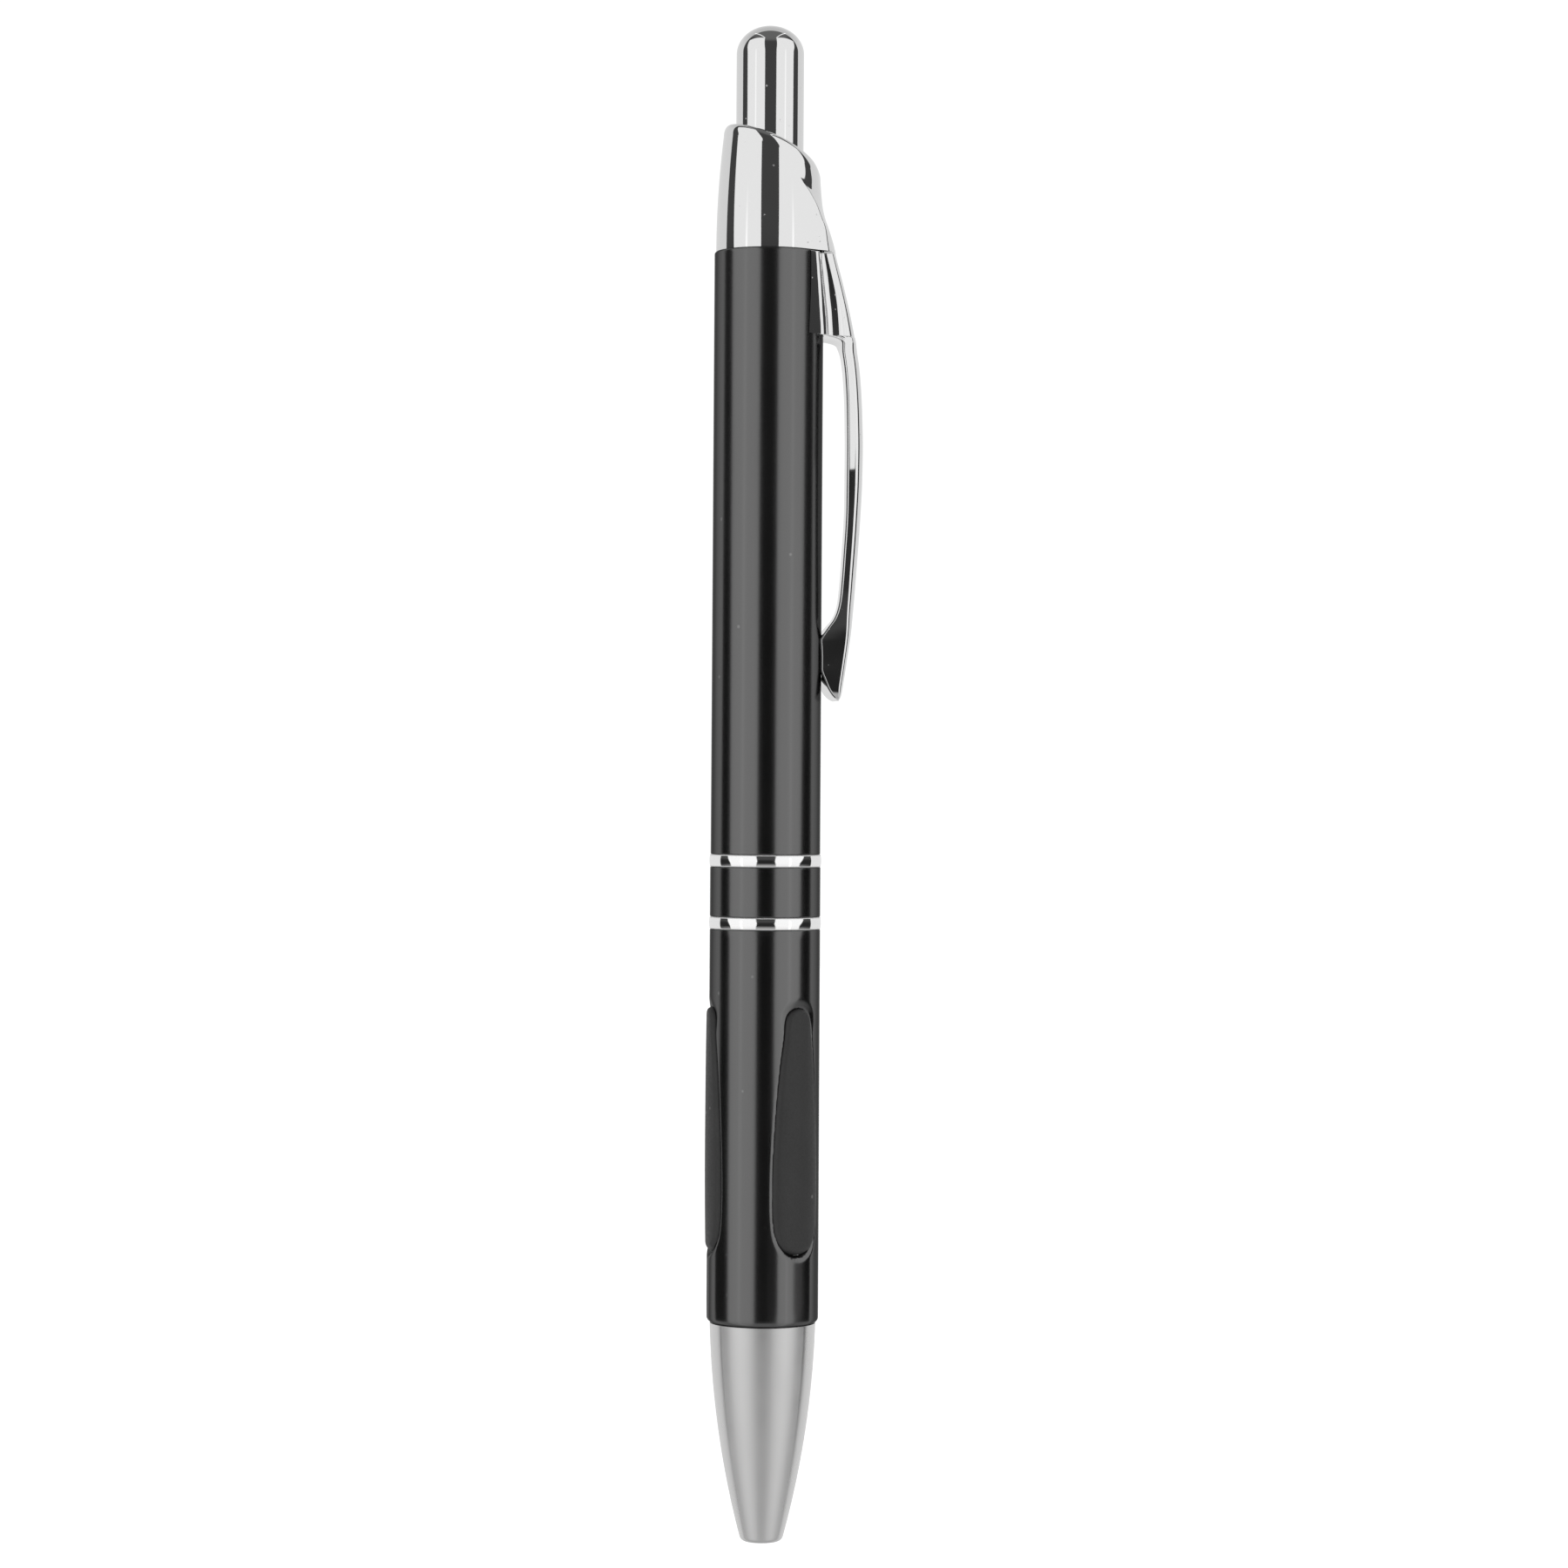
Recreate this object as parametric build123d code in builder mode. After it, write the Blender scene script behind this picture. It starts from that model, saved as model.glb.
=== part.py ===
from build123d import *
from math import cos, radians, sin, tan
import os

os.makedirs("parts", exist_ok=True)

# Retractable ballpoint pen, in millimetres. Z runs along the pen's axis from the nose end (z = 0)
# to the button, and +X points to the pocket clip. The pen is drawn with its point retracted.

# ---- driving dimensions ----
pen_length = 140.0
press_travel = 6.5              # full stroke of the button
slide_gap = 0.08                # radial clearance of the parts that slide in a hole
seat_gap = 0.05                 # clearance of parts that meet end to end but move apart
nose_seam_z = 20.25             # nose against lower barrel
lower_ring_z = 56.56
ring_height = 1.16
upper_ring_z = 62.30
collar_seam_z = 119.06          # upper barrel against clip collar

barrel_radius = 5.03            # upper barrel
joint_radius = 5.06             # at the two rings
grip_end_radius = 5.10          # true cylinder below the grips
tube_bore = 4.50                # inside of both barrels
button_radius = 3.12
refill_radius = 1.50
refill_bore = 0.95
point_radius = 1.14
ball_radius = 0.35

lower_ring_top = lower_ring_z + ring_height
upper_ring_top = upper_ring_z + ring_height


def radial_plane(angle, distance=0.0):
    """A plane square to the radius at this angle, with its own Y along the pen."""
    out = (cos(radians(angle)), sin(radians(angle)), 0)
    along = (-sin(radians(angle)), cos(radians(angle)), 0)
    return Plane(origin=(distance * out[0], distance * out[1], 0), x_dir=along, z_dir=out)


# ---- nose cone: turned shell with a threaded spigot, a spring pocket and the writing hole ----
nose_seam_radius = 4.90
nose_middle = (4.07, 10.5)
nose_end_radius = 1.90
nose_lip_fillet = 0.6
spigot_top_z = 27.0
spring_pocket_radius = 2.45
spring_seat_z = 8.0
point_bore_radius = 1.40
tip_guide_z = 2.4
tip_hole_radius = point_radius + slide_gap

with BuildPart() as nose_cone:
    with BuildSketch(Plane.XZ) as nose_section:
        with BuildLine() as nose_outline:
            nose_flank = ThreePointArc((nose_end_radius, 0), nose_middle, (nose_seam_radius, nose_seam_z))
            Polyline(
                nose_flank @ 1,
                (tube_bore, nose_seam_z),
                (tube_bore, spigot_top_z),
                (spring_pocket_radius, spigot_top_z),
                (spring_pocket_radius, spring_seat_z),
                (point_bore_radius, spring_seat_z),
                (point_bore_radius, tip_guide_z),
                (tip_hole_radius, tip_guide_z),
                (tip_hole_radius, 0),
                nose_flank @ 0,
            )
        make_face()
    revolve(axis=Axis.Z)
    nose_end_edges = nose_cone.edges().filter_by(GeomType.CIRCLE).group_by(Axis.Z)[0]
    fillet(nose_end_edges.sort_by(SortBy.RADIUS)[-1], nose_lip_fillet)
nose_cone.part.label = "nose_cone"
export_step(nose_cone.part, "parts/nose_cone.step")

# ---- grip windows: one teardrop outline, used three times in the barrel and for the three pads ----
grip_angles = (-60, 60, 180)
grip_bottom_z = 26.5
grip_top_z = 49.4
grip_tip = (1.2, 48.75)
grip_shoulder = (1.9, 44.2)
grip_flank = (2.4, 37.8)
grip_widest = (2.58, 32.0)
grip_heel = (2.2, 28.2)
grip_toe = (1.4, 26.95)
grip_side = (grip_toe, grip_heel, grip_widest, grip_flank, grip_shoulder, grip_tip)
pad_radius = 5.44               # the pads stand proud of the barrel
window_gap = 0.04


def grip_outline(gap=0.0):
    """The closed teardrop, wide at its lower end, drawn with its own Y along the pen."""
    right_side = [(x + gap, z) for x, z in grip_side]
    left_side = [(-x, z) for x, z in reversed(right_side)]
    Spline((0, grip_bottom_z - gap), *right_side, (0, grip_top_z + gap), *left_side, periodic=True)


# ---- lower barrel: drawn tube with the three windows ----
barrel_end_fillet = 0.25
grip_end_top_z = 25.9
window_depth = 8.0

with BuildPart() as lower_barrel:
    with BuildSketch(Plane.XZ) as lower_barrel_section:
        with BuildLine() as lower_barrel_outline:
            Polyline(
                (tube_bore, nose_seam_z),
                (grip_end_radius, nose_seam_z),
                (grip_end_radius, grip_end_top_z),
                (joint_radius, lower_ring_z),
                (tube_bore, lower_ring_z),
                close=True,
            )
        make_face()
    revolve(axis=Axis.Z)
    barrel_end_edges = lower_barrel.edges().filter_by(GeomType.CIRCLE).group_by(Axis.Z)[0]
    fillet(barrel_end_edges.sort_by(SortBy.RADIUS)[-1], barrel_end_fillet)
    for grip_angle in grip_angles:
        with BuildSketch(radial_plane(grip_angle)) as window_sketch:
            with BuildLine() as window_line:
                grip_outline(window_gap)
            make_face()
        extrude(amount=window_depth, mode=Mode.SUBTRACT)
lower_barrel.part.label = "lower_barrel"
export_step(lower_barrel.part, "parts/lower_barrel.step")

# ---- grip pads: moulded rubber, seated in the windows on the liner ----
for pad_number, grip_angle in enumerate(grip_angles, start=1):
    with BuildPart() as grip_pad:
        with BuildSketch(radial_plane(grip_angle)) as pad_sketch:
            with BuildLine() as pad_line:
                grip_outline()
            make_face()
        extrude(amount=window_depth)
        with BuildSketch() as pad_ring:
            Circle(pad_radius)
            Circle(tube_bore, mode=Mode.SUBTRACT)
        extrude(amount=lower_ring_z, mode=Mode.INTERSECT)
    grip_pad.part.label = f"grip_pad_{pad_number}"
    export_step(grip_pad.part, f"parts/grip_pad_{pad_number}.step")

# ---- lower liner: sleeve behind the pads, threaded at its top for the coupler ----
liner_bottom_z = spigot_top_z + 0.2
liner_bore = 2.9
thread_radius = 3.95
thread_bottom_z = 47.5

with BuildPart() as lower_liner:
    with BuildSketch(Plane.XZ) as liner_section:
        with BuildLine() as liner_outline:
            Polyline(
                (liner_bore, liner_bottom_z),
                (tube_bore, liner_bottom_z),
                (tube_bore, lower_ring_z),
                (thread_radius, lower_ring_z),
                (thread_radius, thread_bottom_z),
                (liner_bore, thread_bottom_z),
                close=True,
            )
        make_face()
    revolve(axis=Axis.Z)
lower_liner.part.label = "lower_liner"
export_step(lower_liner.part, "parts/lower_liner.step")

# ---- barrel coupler: screwed into the liner, pressed into the upper barrel ----
coupler_top_z = 73.0
coupler_bore = 2.6
ring_bore = 4.45
coupler_lead = 0.3

with BuildPart() as barrel_coupler:
    with BuildSketch(Plane.XZ) as coupler_section:
        with BuildLine() as coupler_outline:
            Polyline(
                (coupler_bore, thread_bottom_z + coupler_lead),
                (thread_radius, thread_bottom_z + coupler_lead),
                (thread_radius, lower_ring_z),
                (ring_bore, lower_ring_z),
                (ring_bore, upper_ring_top),
                (tube_bore, upper_ring_top),
                (tube_bore, coupler_top_z),
                (coupler_bore, coupler_top_z),
                close=True,
            )
        make_face()
    revolve(axis=Axis.Z)
    coupler_end_edges = barrel_coupler.edges().filter_by(GeomType.CIRCLE).group_by(Axis.Z)[-1]
    chamfer(coupler_end_edges.sort_by(SortBy.RADIUS)[-1], coupler_lead)
barrel_coupler.part.label = "barrel_coupler"
export_step(barrel_coupler.part, "parts/barrel_coupler.step")

# ---- trim rings: turned, with a slightly barrelled outside ----
ring_crown = 0.03
ring_places = {"lower_trim_ring": lower_ring_z, "upper_trim_ring": upper_ring_z}

for ring_name, ring_z in ring_places.items():
    with BuildPart() as trim_ring:
        with BuildSketch(Plane.XZ) as ring_section:
            with BuildLine() as ring_outline:
                ring_face = ThreePointArc(
                    (joint_radius, ring_z),
                    (joint_radius + ring_crown, ring_z + ring_height / 2),
                    (joint_radius, ring_z + ring_height),
                )
                Polyline(
                    ring_face @ 1,
                    (ring_bore, ring_z + ring_height),
                    (ring_bore, ring_z),
                    ring_face @ 0,
                )
            make_face()
        revolve(axis=Axis.Z)
    trim_ring.part.label = ring_name
    export_step(trim_ring.part, f"parts/{ring_name}.step")

# ---- centre band: short tube between the rings ----
edge_break = 0.08

with BuildPart() as centre_band:
    with BuildSketch(Plane.XY.offset(lower_ring_top)) as band_section:
        Circle(joint_radius)
        Circle(ring_bore, mode=Mode.SUBTRACT)
    extrude(amount=upper_ring_z - lower_ring_top)
    chamfer(centre_band.edges().filter_by(GeomType.CIRCLE).group_by(SortBy.RADIUS)[-1], edge_break)
centre_band.part.label = "centre_band"
export_step(centre_band.part, "parts/centre_band.step")

# ---- upper barrel: drawn tube ----
with BuildPart() as upper_barrel:
    with BuildSketch(Plane.XY.offset(upper_ring_top)) as upper_barrel_section:
        Circle(barrel_radius)
        Circle(tube_bore, mode=Mode.SUBTRACT)
    extrude(amount=collar_seam_z - upper_ring_top)
    chamfer(upper_barrel.edges().filter_by(GeomType.CIRCLE).group_by(SortBy.RADIUS)[-1], edge_break)
upper_barrel.part.label = "upper_barrel"
export_step(upper_barrel.part, "parts/upper_barrel.step")

# ---- clip collar: plated ring with a slanted top, a hood over the clip root and a skirt ----
collar_base_radius = 4.90
collar_waist = (4.72, 124.6)
collar_top = (4.10, 131.6)
skirt_bottom_z = 113.0
guide_radius = 4.00
guide_top_z = 124.9
rim_reach = 6.5                 # the slanted cut is drawn this far to each side of the axis
rim_high_z = 131.35
rim_middle_z = 129.40
rim_low_z = 125.67
hood_spread = 48                # degrees of the collar that the hood covers
hood_foot = (6.20, collar_seam_z)
hood_bend = (5.43, 121.4)
hood_neck = (4.92, 123.0)
hood_top = (4.55, 127.2)
hood_inside = 4.3
tongue_slot_inner = 4.95
tongue_slot_outer = 5.60
tongue_slot_width = 3.4
tongue_slot_top_z = 120.8

with BuildPart() as clip_collar:
    with BuildSketch(Plane.XZ) as collar_section:
        with BuildLine() as collar_outline:
            collar_flank = ThreePointArc((collar_base_radius, collar_seam_z), collar_waist, collar_top)
            Polyline(
                collar_flank @ 1,
                (0, collar_top[1]),
                (0, skirt_bottom_z),
                (tube_bore, skirt_bottom_z),
                (tube_bore, collar_seam_z),
                collar_flank @ 0,
            )
        make_face()
    revolve(axis=Axis.Z)
    hood_start = radial_plane(-hood_spread / 2)
    with BuildSketch(Plane(origin=(0, 0, 0), x_dir=hood_start.z_dir, z_dir=-hood_start.x_dir)) as hood_section:
        with BuildLine() as hood_outline:
            hood_back = Spline(hood_foot, hood_bend, hood_neck, hood_top)
            Polyline(hood_back @ 1, (hood_inside, hood_top[1]), (hood_inside, collar_seam_z), hood_back @ 0)
        make_face()
    revolve(axis=Axis.Z, revolution_arc=hood_spread)
    with BuildSketch(Plane.XZ) as rim_cut:
        with BuildLine() as rim_line:
            rim_curve = ThreePointArc((-rim_reach, rim_high_z), (0, rim_middle_z), (rim_reach, rim_low_z))
            Polyline(rim_curve @ 1, (rim_reach, pen_length), (-rim_reach, pen_length), rim_curve @ 0)
        make_face()
    extrude(amount=rim_reach, both=True, mode=Mode.SUBTRACT)
    with BuildSketch(Plane.XY.offset(skirt_bottom_z)) as guide_seat:
        Circle(guide_radius)
    extrude(amount=guide_top_z - skirt_bottom_z, mode=Mode.SUBTRACT)
    with BuildSketch(Plane.XY.offset(guide_top_z)) as button_hole:
        Circle(button_radius + slide_gap)
    extrude(amount=pen_length - guide_top_z, mode=Mode.SUBTRACT)
    with BuildSketch(Plane.XY.offset(collar_seam_z)) as tongue_slot:
        with Locations(((tongue_slot_inner + tongue_slot_outer) / 2, 0)):
            Rectangle(tongue_slot_outer - tongue_slot_inner, tongue_slot_width)
    extrude(amount=tongue_slot_top_z - collar_seam_z, mode=Mode.SUBTRACT)
clip_collar.part.label = "clip_collar"
export_step(clip_collar.part, "parts/clip_collar.step")

# ---- pocket clip: bowed strap, foot on the barrel, contact bulge, tongue in the collar's slot ----
clip_gap = 0.11                 # open joint under the hood, and between foot and barrel
clip_top_z = collar_seam_z - clip_gap
clip_width = 4.2
clip_root = (6.12, clip_top_z)
clip_outer_points = ((7.37, 114.2), (8.52, 108.5), (8.85, 101.0), (8.36, 90.0), (7.88, 84.4), (6.95, 78.6))
clip_end = (6.55, 77.67)
clip_bulge_points = ((5.75, 78.9), (5.15, 81.0), (5.20, 83.3), (6.30, 84.7))
clip_inner_points = ((7.04, 86.0), (7.50, 90.9), (7.75, 100.5), (7.55, 106.9), (7.05, 111.2))
foot_bottom_z = 111.2
foot_inner_x = 3.35
foot_edge = (foot_inner_x, 3.74)
foot_ridge = (4.19, 3.00)
foot_web = (4.66, 2.35)
foot_waist = (5.50, 1.85)
foot_outer = (5.90, 2.10)
tip_corner = 1.6
tongue_top_z = 120.4
tongue_inner_x = 5.12
tongue_outer_x = 5.45
tongue_width = 3.0

with BuildPart() as pocket_clip:
    with BuildSketch(Plane.XZ) as clip_side:
        with BuildLine() as clip_outline:
            clip_back = Spline(clip_root, *clip_outer_points)
            clip_nose = Spline(clip_back @ 1, clip_end, *clip_bulge_points, clip_inner_points[0])
            clip_face = Spline(clip_nose @ 1, *clip_inner_points[1:])
            Polyline(clip_face @ 1, (foot_inner_x, foot_bottom_z), (foot_inner_x, clip_top_z), clip_root)
        make_face()
    extrude(amount=clip_width / 2, both=True)
    with BuildSketch(Plane.XY.offset(foot_bottom_z)) as foot_sketch:
        foot_side = [foot_edge, foot_ridge, foot_web, foot_waist, foot_outer]
        Polygon(*foot_side, *[(x, -y) for x, y in reversed(foot_side)], align=None)
    extrude(amount=clip_top_z - foot_bottom_z)
    with BuildSketch(Plane.XY.offset(clip_end[1] - tip_corner)) as barrel_space:
        Circle(barrel_radius + seat_gap)
    extrude(amount=clip_top_z, mode=Mode.SUBTRACT)
    with BuildSketch(Plane.XY.offset(foot_bottom_z)) as tongue_sketch:
        with Locations(((tongue_inner_x + tongue_outer_x) / 2, 0)):
            Rectangle(tongue_outer_x - tongue_inner_x, tongue_width)
    extrude(amount=tongue_top_z - foot_bottom_z)
pocket_clip.part.label = "pocket_clip"
export_step(pocket_clip.part, "parts/pocket_clip.step")

# ---- cam guide: tube with four ribs; the rotor's fins run between the ribs ----
cam_count = 4
guide_bottom_z = 104.0
guide_bore = 3.60
guide_flange_height = 1.2
rib_bore = 2.80
rib_bottom_z = 107.2
rib_top_z = 116.5
slot_spread = 45                # degrees, and the ribs between are as wide
rib_ramp = 0.7
wedge_reach = 8.0


def wedge(spread):
    """A wedge from the axis outwards, this many degrees wide."""
    half = wedge_reach * tan(radians(spread / 2))
    Polygon((0, 0), (wedge_reach, -half), (wedge_reach, half), align=None)


with BuildPart() as cam_guide:
    with BuildSketch(Plane.XY.offset(guide_bottom_z)) as guide_section:
        Circle(guide_radius)
        Circle(guide_bore, mode=Mode.SUBTRACT)
    extrude(amount=guide_top_z - guide_bottom_z)
    with BuildSketch(Plane.XY.offset(guide_bottom_z)) as guide_flange:
        Circle(tube_bore)
        Circle(guide_bore, mode=Mode.SUBTRACT)
    extrude(amount=guide_flange_height)
    with BuildSketch(Plane.XY.offset(rib_bottom_z)) as rib_section:
        with PolarLocations(0, cam_count, start_angle=slot_spread):
            wedge(slot_spread)
        Circle((guide_radius + guide_bore) / 2, mode=Mode.INTERSECT)
        Circle(rib_bore, mode=Mode.SUBTRACT)
    extrude(amount=rib_top_z - rib_bottom_z)
    for cam_number in range(cam_count):
        rib_angle = slot_spread + cam_number * 360 / cam_count
        ramp_reach = guide_bore * tan(radians(slot_spread / 2))
        with BuildSketch(radial_plane(rib_angle)) as ramp_sketch:
            Polygon(
                (-ramp_reach, rib_bottom_z),
                (ramp_reach, rib_bottom_z),
                (ramp_reach, rib_bottom_z + rib_ramp),
                align=None,
            )
        extrude(amount=guide_bore, mode=Mode.SUBTRACT)
cam_guide.part.label = "cam_guide"
export_step(cam_guide.part, "parts/cam_guide.step")

# ---- crown teeth: eight V gaps, the same in the plunger and in the rotor ----
tooth_count = 8
tooth_height = 1.0
crown_radius = 2.60
crown_root_radius = crown_radius - 0.2  # keys and fins are let this far into their bodies
rotor_tip_z = 113.0
plunger_tip_z = rotor_tip_z - tooth_height / 2 + 0.15
gap_small_radius = 0.5
gap_large_radius = 4.0


def tooth_gap(open_z, depth):
    """The cutter of one V gap, which widens with the radius; a negative depth opens upwards."""
    with BuildPart() as gap_cutter:
        for reach in (gap_small_radius, gap_large_radius):
            half = reach * tan(radians(180 / tooth_count))
            with BuildSketch(radial_plane(0, reach)):
                Polygon((-half, open_z), (half, open_z), (0, open_z + depth), align=None)
        loft()
    return gap_cutter.part


plunger_gap = tooth_gap(plunger_tip_z, tooth_height)
rotor_gap = tooth_gap(rotor_tip_z, -tooth_height)


# ---- plunger: stem in the button cap, retaining ring, keys in the guide's slots, crown teeth ----
cap_wall = 0.37
stem_radius = button_radius - cap_wall
stem_top_z = 136.4
ring_radius = 3.50
plunger_ring_z = 123.4
plunger_ring_top_z = guide_top_z - 0.2
plunger_bore = 1.60
plunger_bore_top_z = 118.0
key_spread = 30
key_bottom_z = rotor_tip_z + 0.1
key_top_z = 115.4

with BuildPart() as plunger:
    with BuildSketch(Plane.XZ) as plunger_section:
        with BuildLine() as plunger_outline:
            Polyline(
                (plunger_bore, plunger_tip_z),
                (crown_radius, plunger_tip_z),
                (crown_radius, plunger_ring_z),
                (ring_radius, plunger_ring_z),
                (ring_radius, plunger_ring_top_z),
                (stem_radius, plunger_ring_top_z),
                (stem_radius, stem_top_z),
                (0, stem_top_z),
                (0, plunger_bore_top_z),
                (plunger_bore, plunger_bore_top_z),
                close=True,
            )
        make_face()
    revolve(axis=Axis.Z)
    with PolarLocations(0, tooth_count):
        add(plunger_gap, mode=Mode.SUBTRACT)
    with BuildSketch(Plane.XY.offset(key_bottom_z)) as key_section:
        with PolarLocations(0, cam_count):
            wedge(key_spread)
        Circle(guide_bore - slide_gap, mode=Mode.INTERSECT)
        Circle(crown_root_radius, mode=Mode.SUBTRACT)
    extrude(amount=key_top_z - key_bottom_z)
plunger.part.label = "plunger"
export_step(plunger.part, "parts/plunger.step")

# ---- button cap: drawn cup with a domed end, pressed over the plunger's stem ----
dome_height = 2.65
dome_base_z = pen_length - dome_height
inner_dome_height = dome_height - cap_wall


def dome_arc(radius, height):
    """A quarter of an ellipse from the dome's base circle up to its pole on the axis."""
    shoulder = (radius * cos(radians(45)), dome_base_z + height * sin(radians(45)))
    pole = (0, dome_base_z + height)
    return Spline((radius, dome_base_z), shoulder, pole, tangents=((0, 1), (-1, 0)))


with BuildPart() as button_cap:
    with BuildSketch(Plane.XZ) as cap_section:
        with BuildLine() as cap_outline:
            outer_dome = dome_arc(button_radius, dome_height)
            inner_dome = dome_arc(stem_radius, inner_dome_height)
            Line(outer_dome @ 1, inner_dome @ 1)
            Polyline(
                inner_dome @ 0,
                (stem_radius, plunger_ring_top_z),
                (button_radius, plunger_ring_top_z),
                outer_dome @ 0,
            )
        make_face()
    revolve(axis=Axis.Z)
button_cap.part.label = "button_cap"
export_step(button_cap.part, "parts/button_cap.step")

# ---- cam rotor: body with teeth on top, four fins, a centre pin and the refill's socket ----
rotor_bottom_z = 108.4
socket_depth = 1.05
socket_radius = refill_radius + seat_gap
pin_radius = 1.30
pin_top_z = 116.8
fin_bottom_z = 109.6
fin_top_z = 112.6
fin_slope = 0.6
fin_spread = 18
fin_radius = 3.45
press_turn = 22.5               # degrees that the rotor turns over the full stroke
fin_start_angle = -press_turn / 2
mesh_angle = 180 / tooth_count

with BuildPart() as cam_rotor:
    with BuildSketch(Plane.XZ) as rotor_section:
        with BuildLine() as rotor_outline:
            Polyline(
                (0, rotor_bottom_z + socket_depth),
                (socket_radius, rotor_bottom_z + socket_depth),
                (socket_radius, rotor_bottom_z),
                (crown_radius, rotor_bottom_z),
                (crown_radius, rotor_tip_z),
                (0, rotor_tip_z),
                close=True,
            )
        make_face()
    revolve(axis=Axis.Z)
    with PolarLocations(0, tooth_count, start_angle=mesh_angle - press_turn / 2):
        add(rotor_gap, mode=Mode.SUBTRACT)
    with BuildSketch(Plane.XY.offset(rotor_bottom_z + socket_depth)) as pin_sketch:
        Circle(pin_radius)
    extrude(amount=pin_top_z - rotor_bottom_z - socket_depth)
    for cam_number in range(cam_count):
        fin_angle = fin_start_angle + cam_number * 360 / cam_count
        fin_half = fin_radius * tan(radians(fin_spread / 2))
        with BuildSketch(radial_plane(fin_angle, crown_root_radius)) as fin_sketch:
            Polygon(
                (-fin_half, fin_bottom_z),
                (fin_half, fin_bottom_z),
                (fin_half, fin_top_z),
                (-fin_half, fin_top_z - fin_slope),
                align=None,
            )
        extrude(amount=fin_radius - crown_root_radius)
cam_rotor.part.label = "cam_rotor"
export_step(cam_rotor.part, "parts/cam_rotor.step")

# ---- refill tube: plastic tube with two pinched ears that carry the spring ----
tip_z = 2.6                     # lowest point of the ball, inside the nose
refill_length = 106.8
tube_bottom_z = 15.0
refill_top_z = tip_z + refill_length
ear_bottom_z = 27.6
ear_height = 1.4
ear_reach = 2.10
ear_thickness = 0.6

with BuildPart() as refill_tube:
    with BuildSketch(Plane.XY.offset(ear_bottom_z)) as ear_section:
        Rectangle(ear_thickness, 2 * ear_reach)
    extrude(amount=ear_height)
    with BuildSketch(Plane.XY.offset(tube_bottom_z)) as tube_section:
        Circle(refill_radius)
    extrude(amount=refill_top_z - tube_bottom_z)
    with BuildSketch(Plane.XY.offset(tube_bottom_z)) as tube_hole:
        Circle(refill_bore)
    extrude(amount=refill_top_z - tube_bottom_z, mode=Mode.SUBTRACT)
refill_tube.part.label = "refill_tube"
export_step(refill_tube.part, "parts/refill_tube.step")

# ---- ink column and the grease follower on top of it ----
ink_bottom_z = 18.5
ink_top_z = 92.0
follower_height = 2.5

with BuildPart() as ink_column:
    with BuildSketch(Plane.XY.offset(ink_bottom_z)) as ink_section:
        Circle(refill_bore)
    extrude(amount=ink_top_z - ink_bottom_z)
ink_column.part.label = "ink_column"
export_step(ink_column.part, "parts/ink_column.step")

with BuildPart() as ink_follower:
    with BuildSketch(Plane.XY.offset(ink_top_z)) as follower_section:
        Circle(refill_bore)
    extrude(amount=follower_height)
ink_follower.part.label = "ink_follower"
export_step(ink_follower.part, "parts/ink_follower.step")

# ---- writing point: turned metal cone with a ball socket, pressed into the tube ----
ball_centre_z = tip_z + ball_radius
socket_gap = 0.02
point_lip_radius = 0.44
point_lip_z = ball_centre_z - 0.08
cone_top_z = 6.0
cone_shoulder = (0.72, 4.1)
ink_channel_radius = 0.30

with BuildPart() as writing_point:
    with BuildSketch(Plane.XZ) as point_section:
        with BuildLine() as point_outline:
            Polyline(
                (ink_channel_radius, point_lip_z),
                (point_lip_radius, point_lip_z),
                cone_shoulder,
                (point_radius, cone_top_z),
                (point_radius, tube_bottom_z),
                (refill_bore, tube_bottom_z),
                (refill_bore, ink_bottom_z),
                (ink_channel_radius, ink_bottom_z),
                close=True,
            )
        make_face()
    revolve(axis=Axis.Z)
    with Locations((0, 0, ball_centre_z)):
        Sphere(ball_radius + socket_gap, mode=Mode.SUBTRACT)
writing_point.part.label = "writing_point"
export_step(writing_point.part, "parts/writing_point.step")

with BuildPart() as writing_ball:
    with Locations((0, 0, ball_centre_z)):
        Sphere(ball_radius)
writing_ball.part.label = "writing_ball"
export_step(writing_ball.part, "parts/writing_ball.step")

# ---- return spring: steel wire coil between the nose's shoulder and the refill's ears ----
wire_radius = 0.18
coil_radius = 1.98
coil_turns = 12
coil_height = ear_bottom_z - spring_seat_z - 2 * wire_radius

with BuildPart() as return_spring:
    with BuildLine() as spring_line:
        spring_path = Helix(
            pitch=coil_height / coil_turns,
            height=coil_height,
            radius=coil_radius,
            center=(0, 0, spring_seat_z + wire_radius),
        )
    with BuildSketch(Plane(origin=spring_path @ 0, z_dir=spring_path % 0)) as wire_section:
        Circle(wire_radius)
    sweep(path=spring_path, is_frenet=True)
return_spring.part.label = "return_spring"
export_step(return_spring.part, "parts/return_spring.step")

print("writing travel", press_travel, "mm; nodes", len(os.listdir("parts")))
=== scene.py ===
from math import acos, atan2, cos, pi, radians, sin, tan

import bmesh
import bpy
import numpy as np
from mathutils import Matrix, Vector


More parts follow.
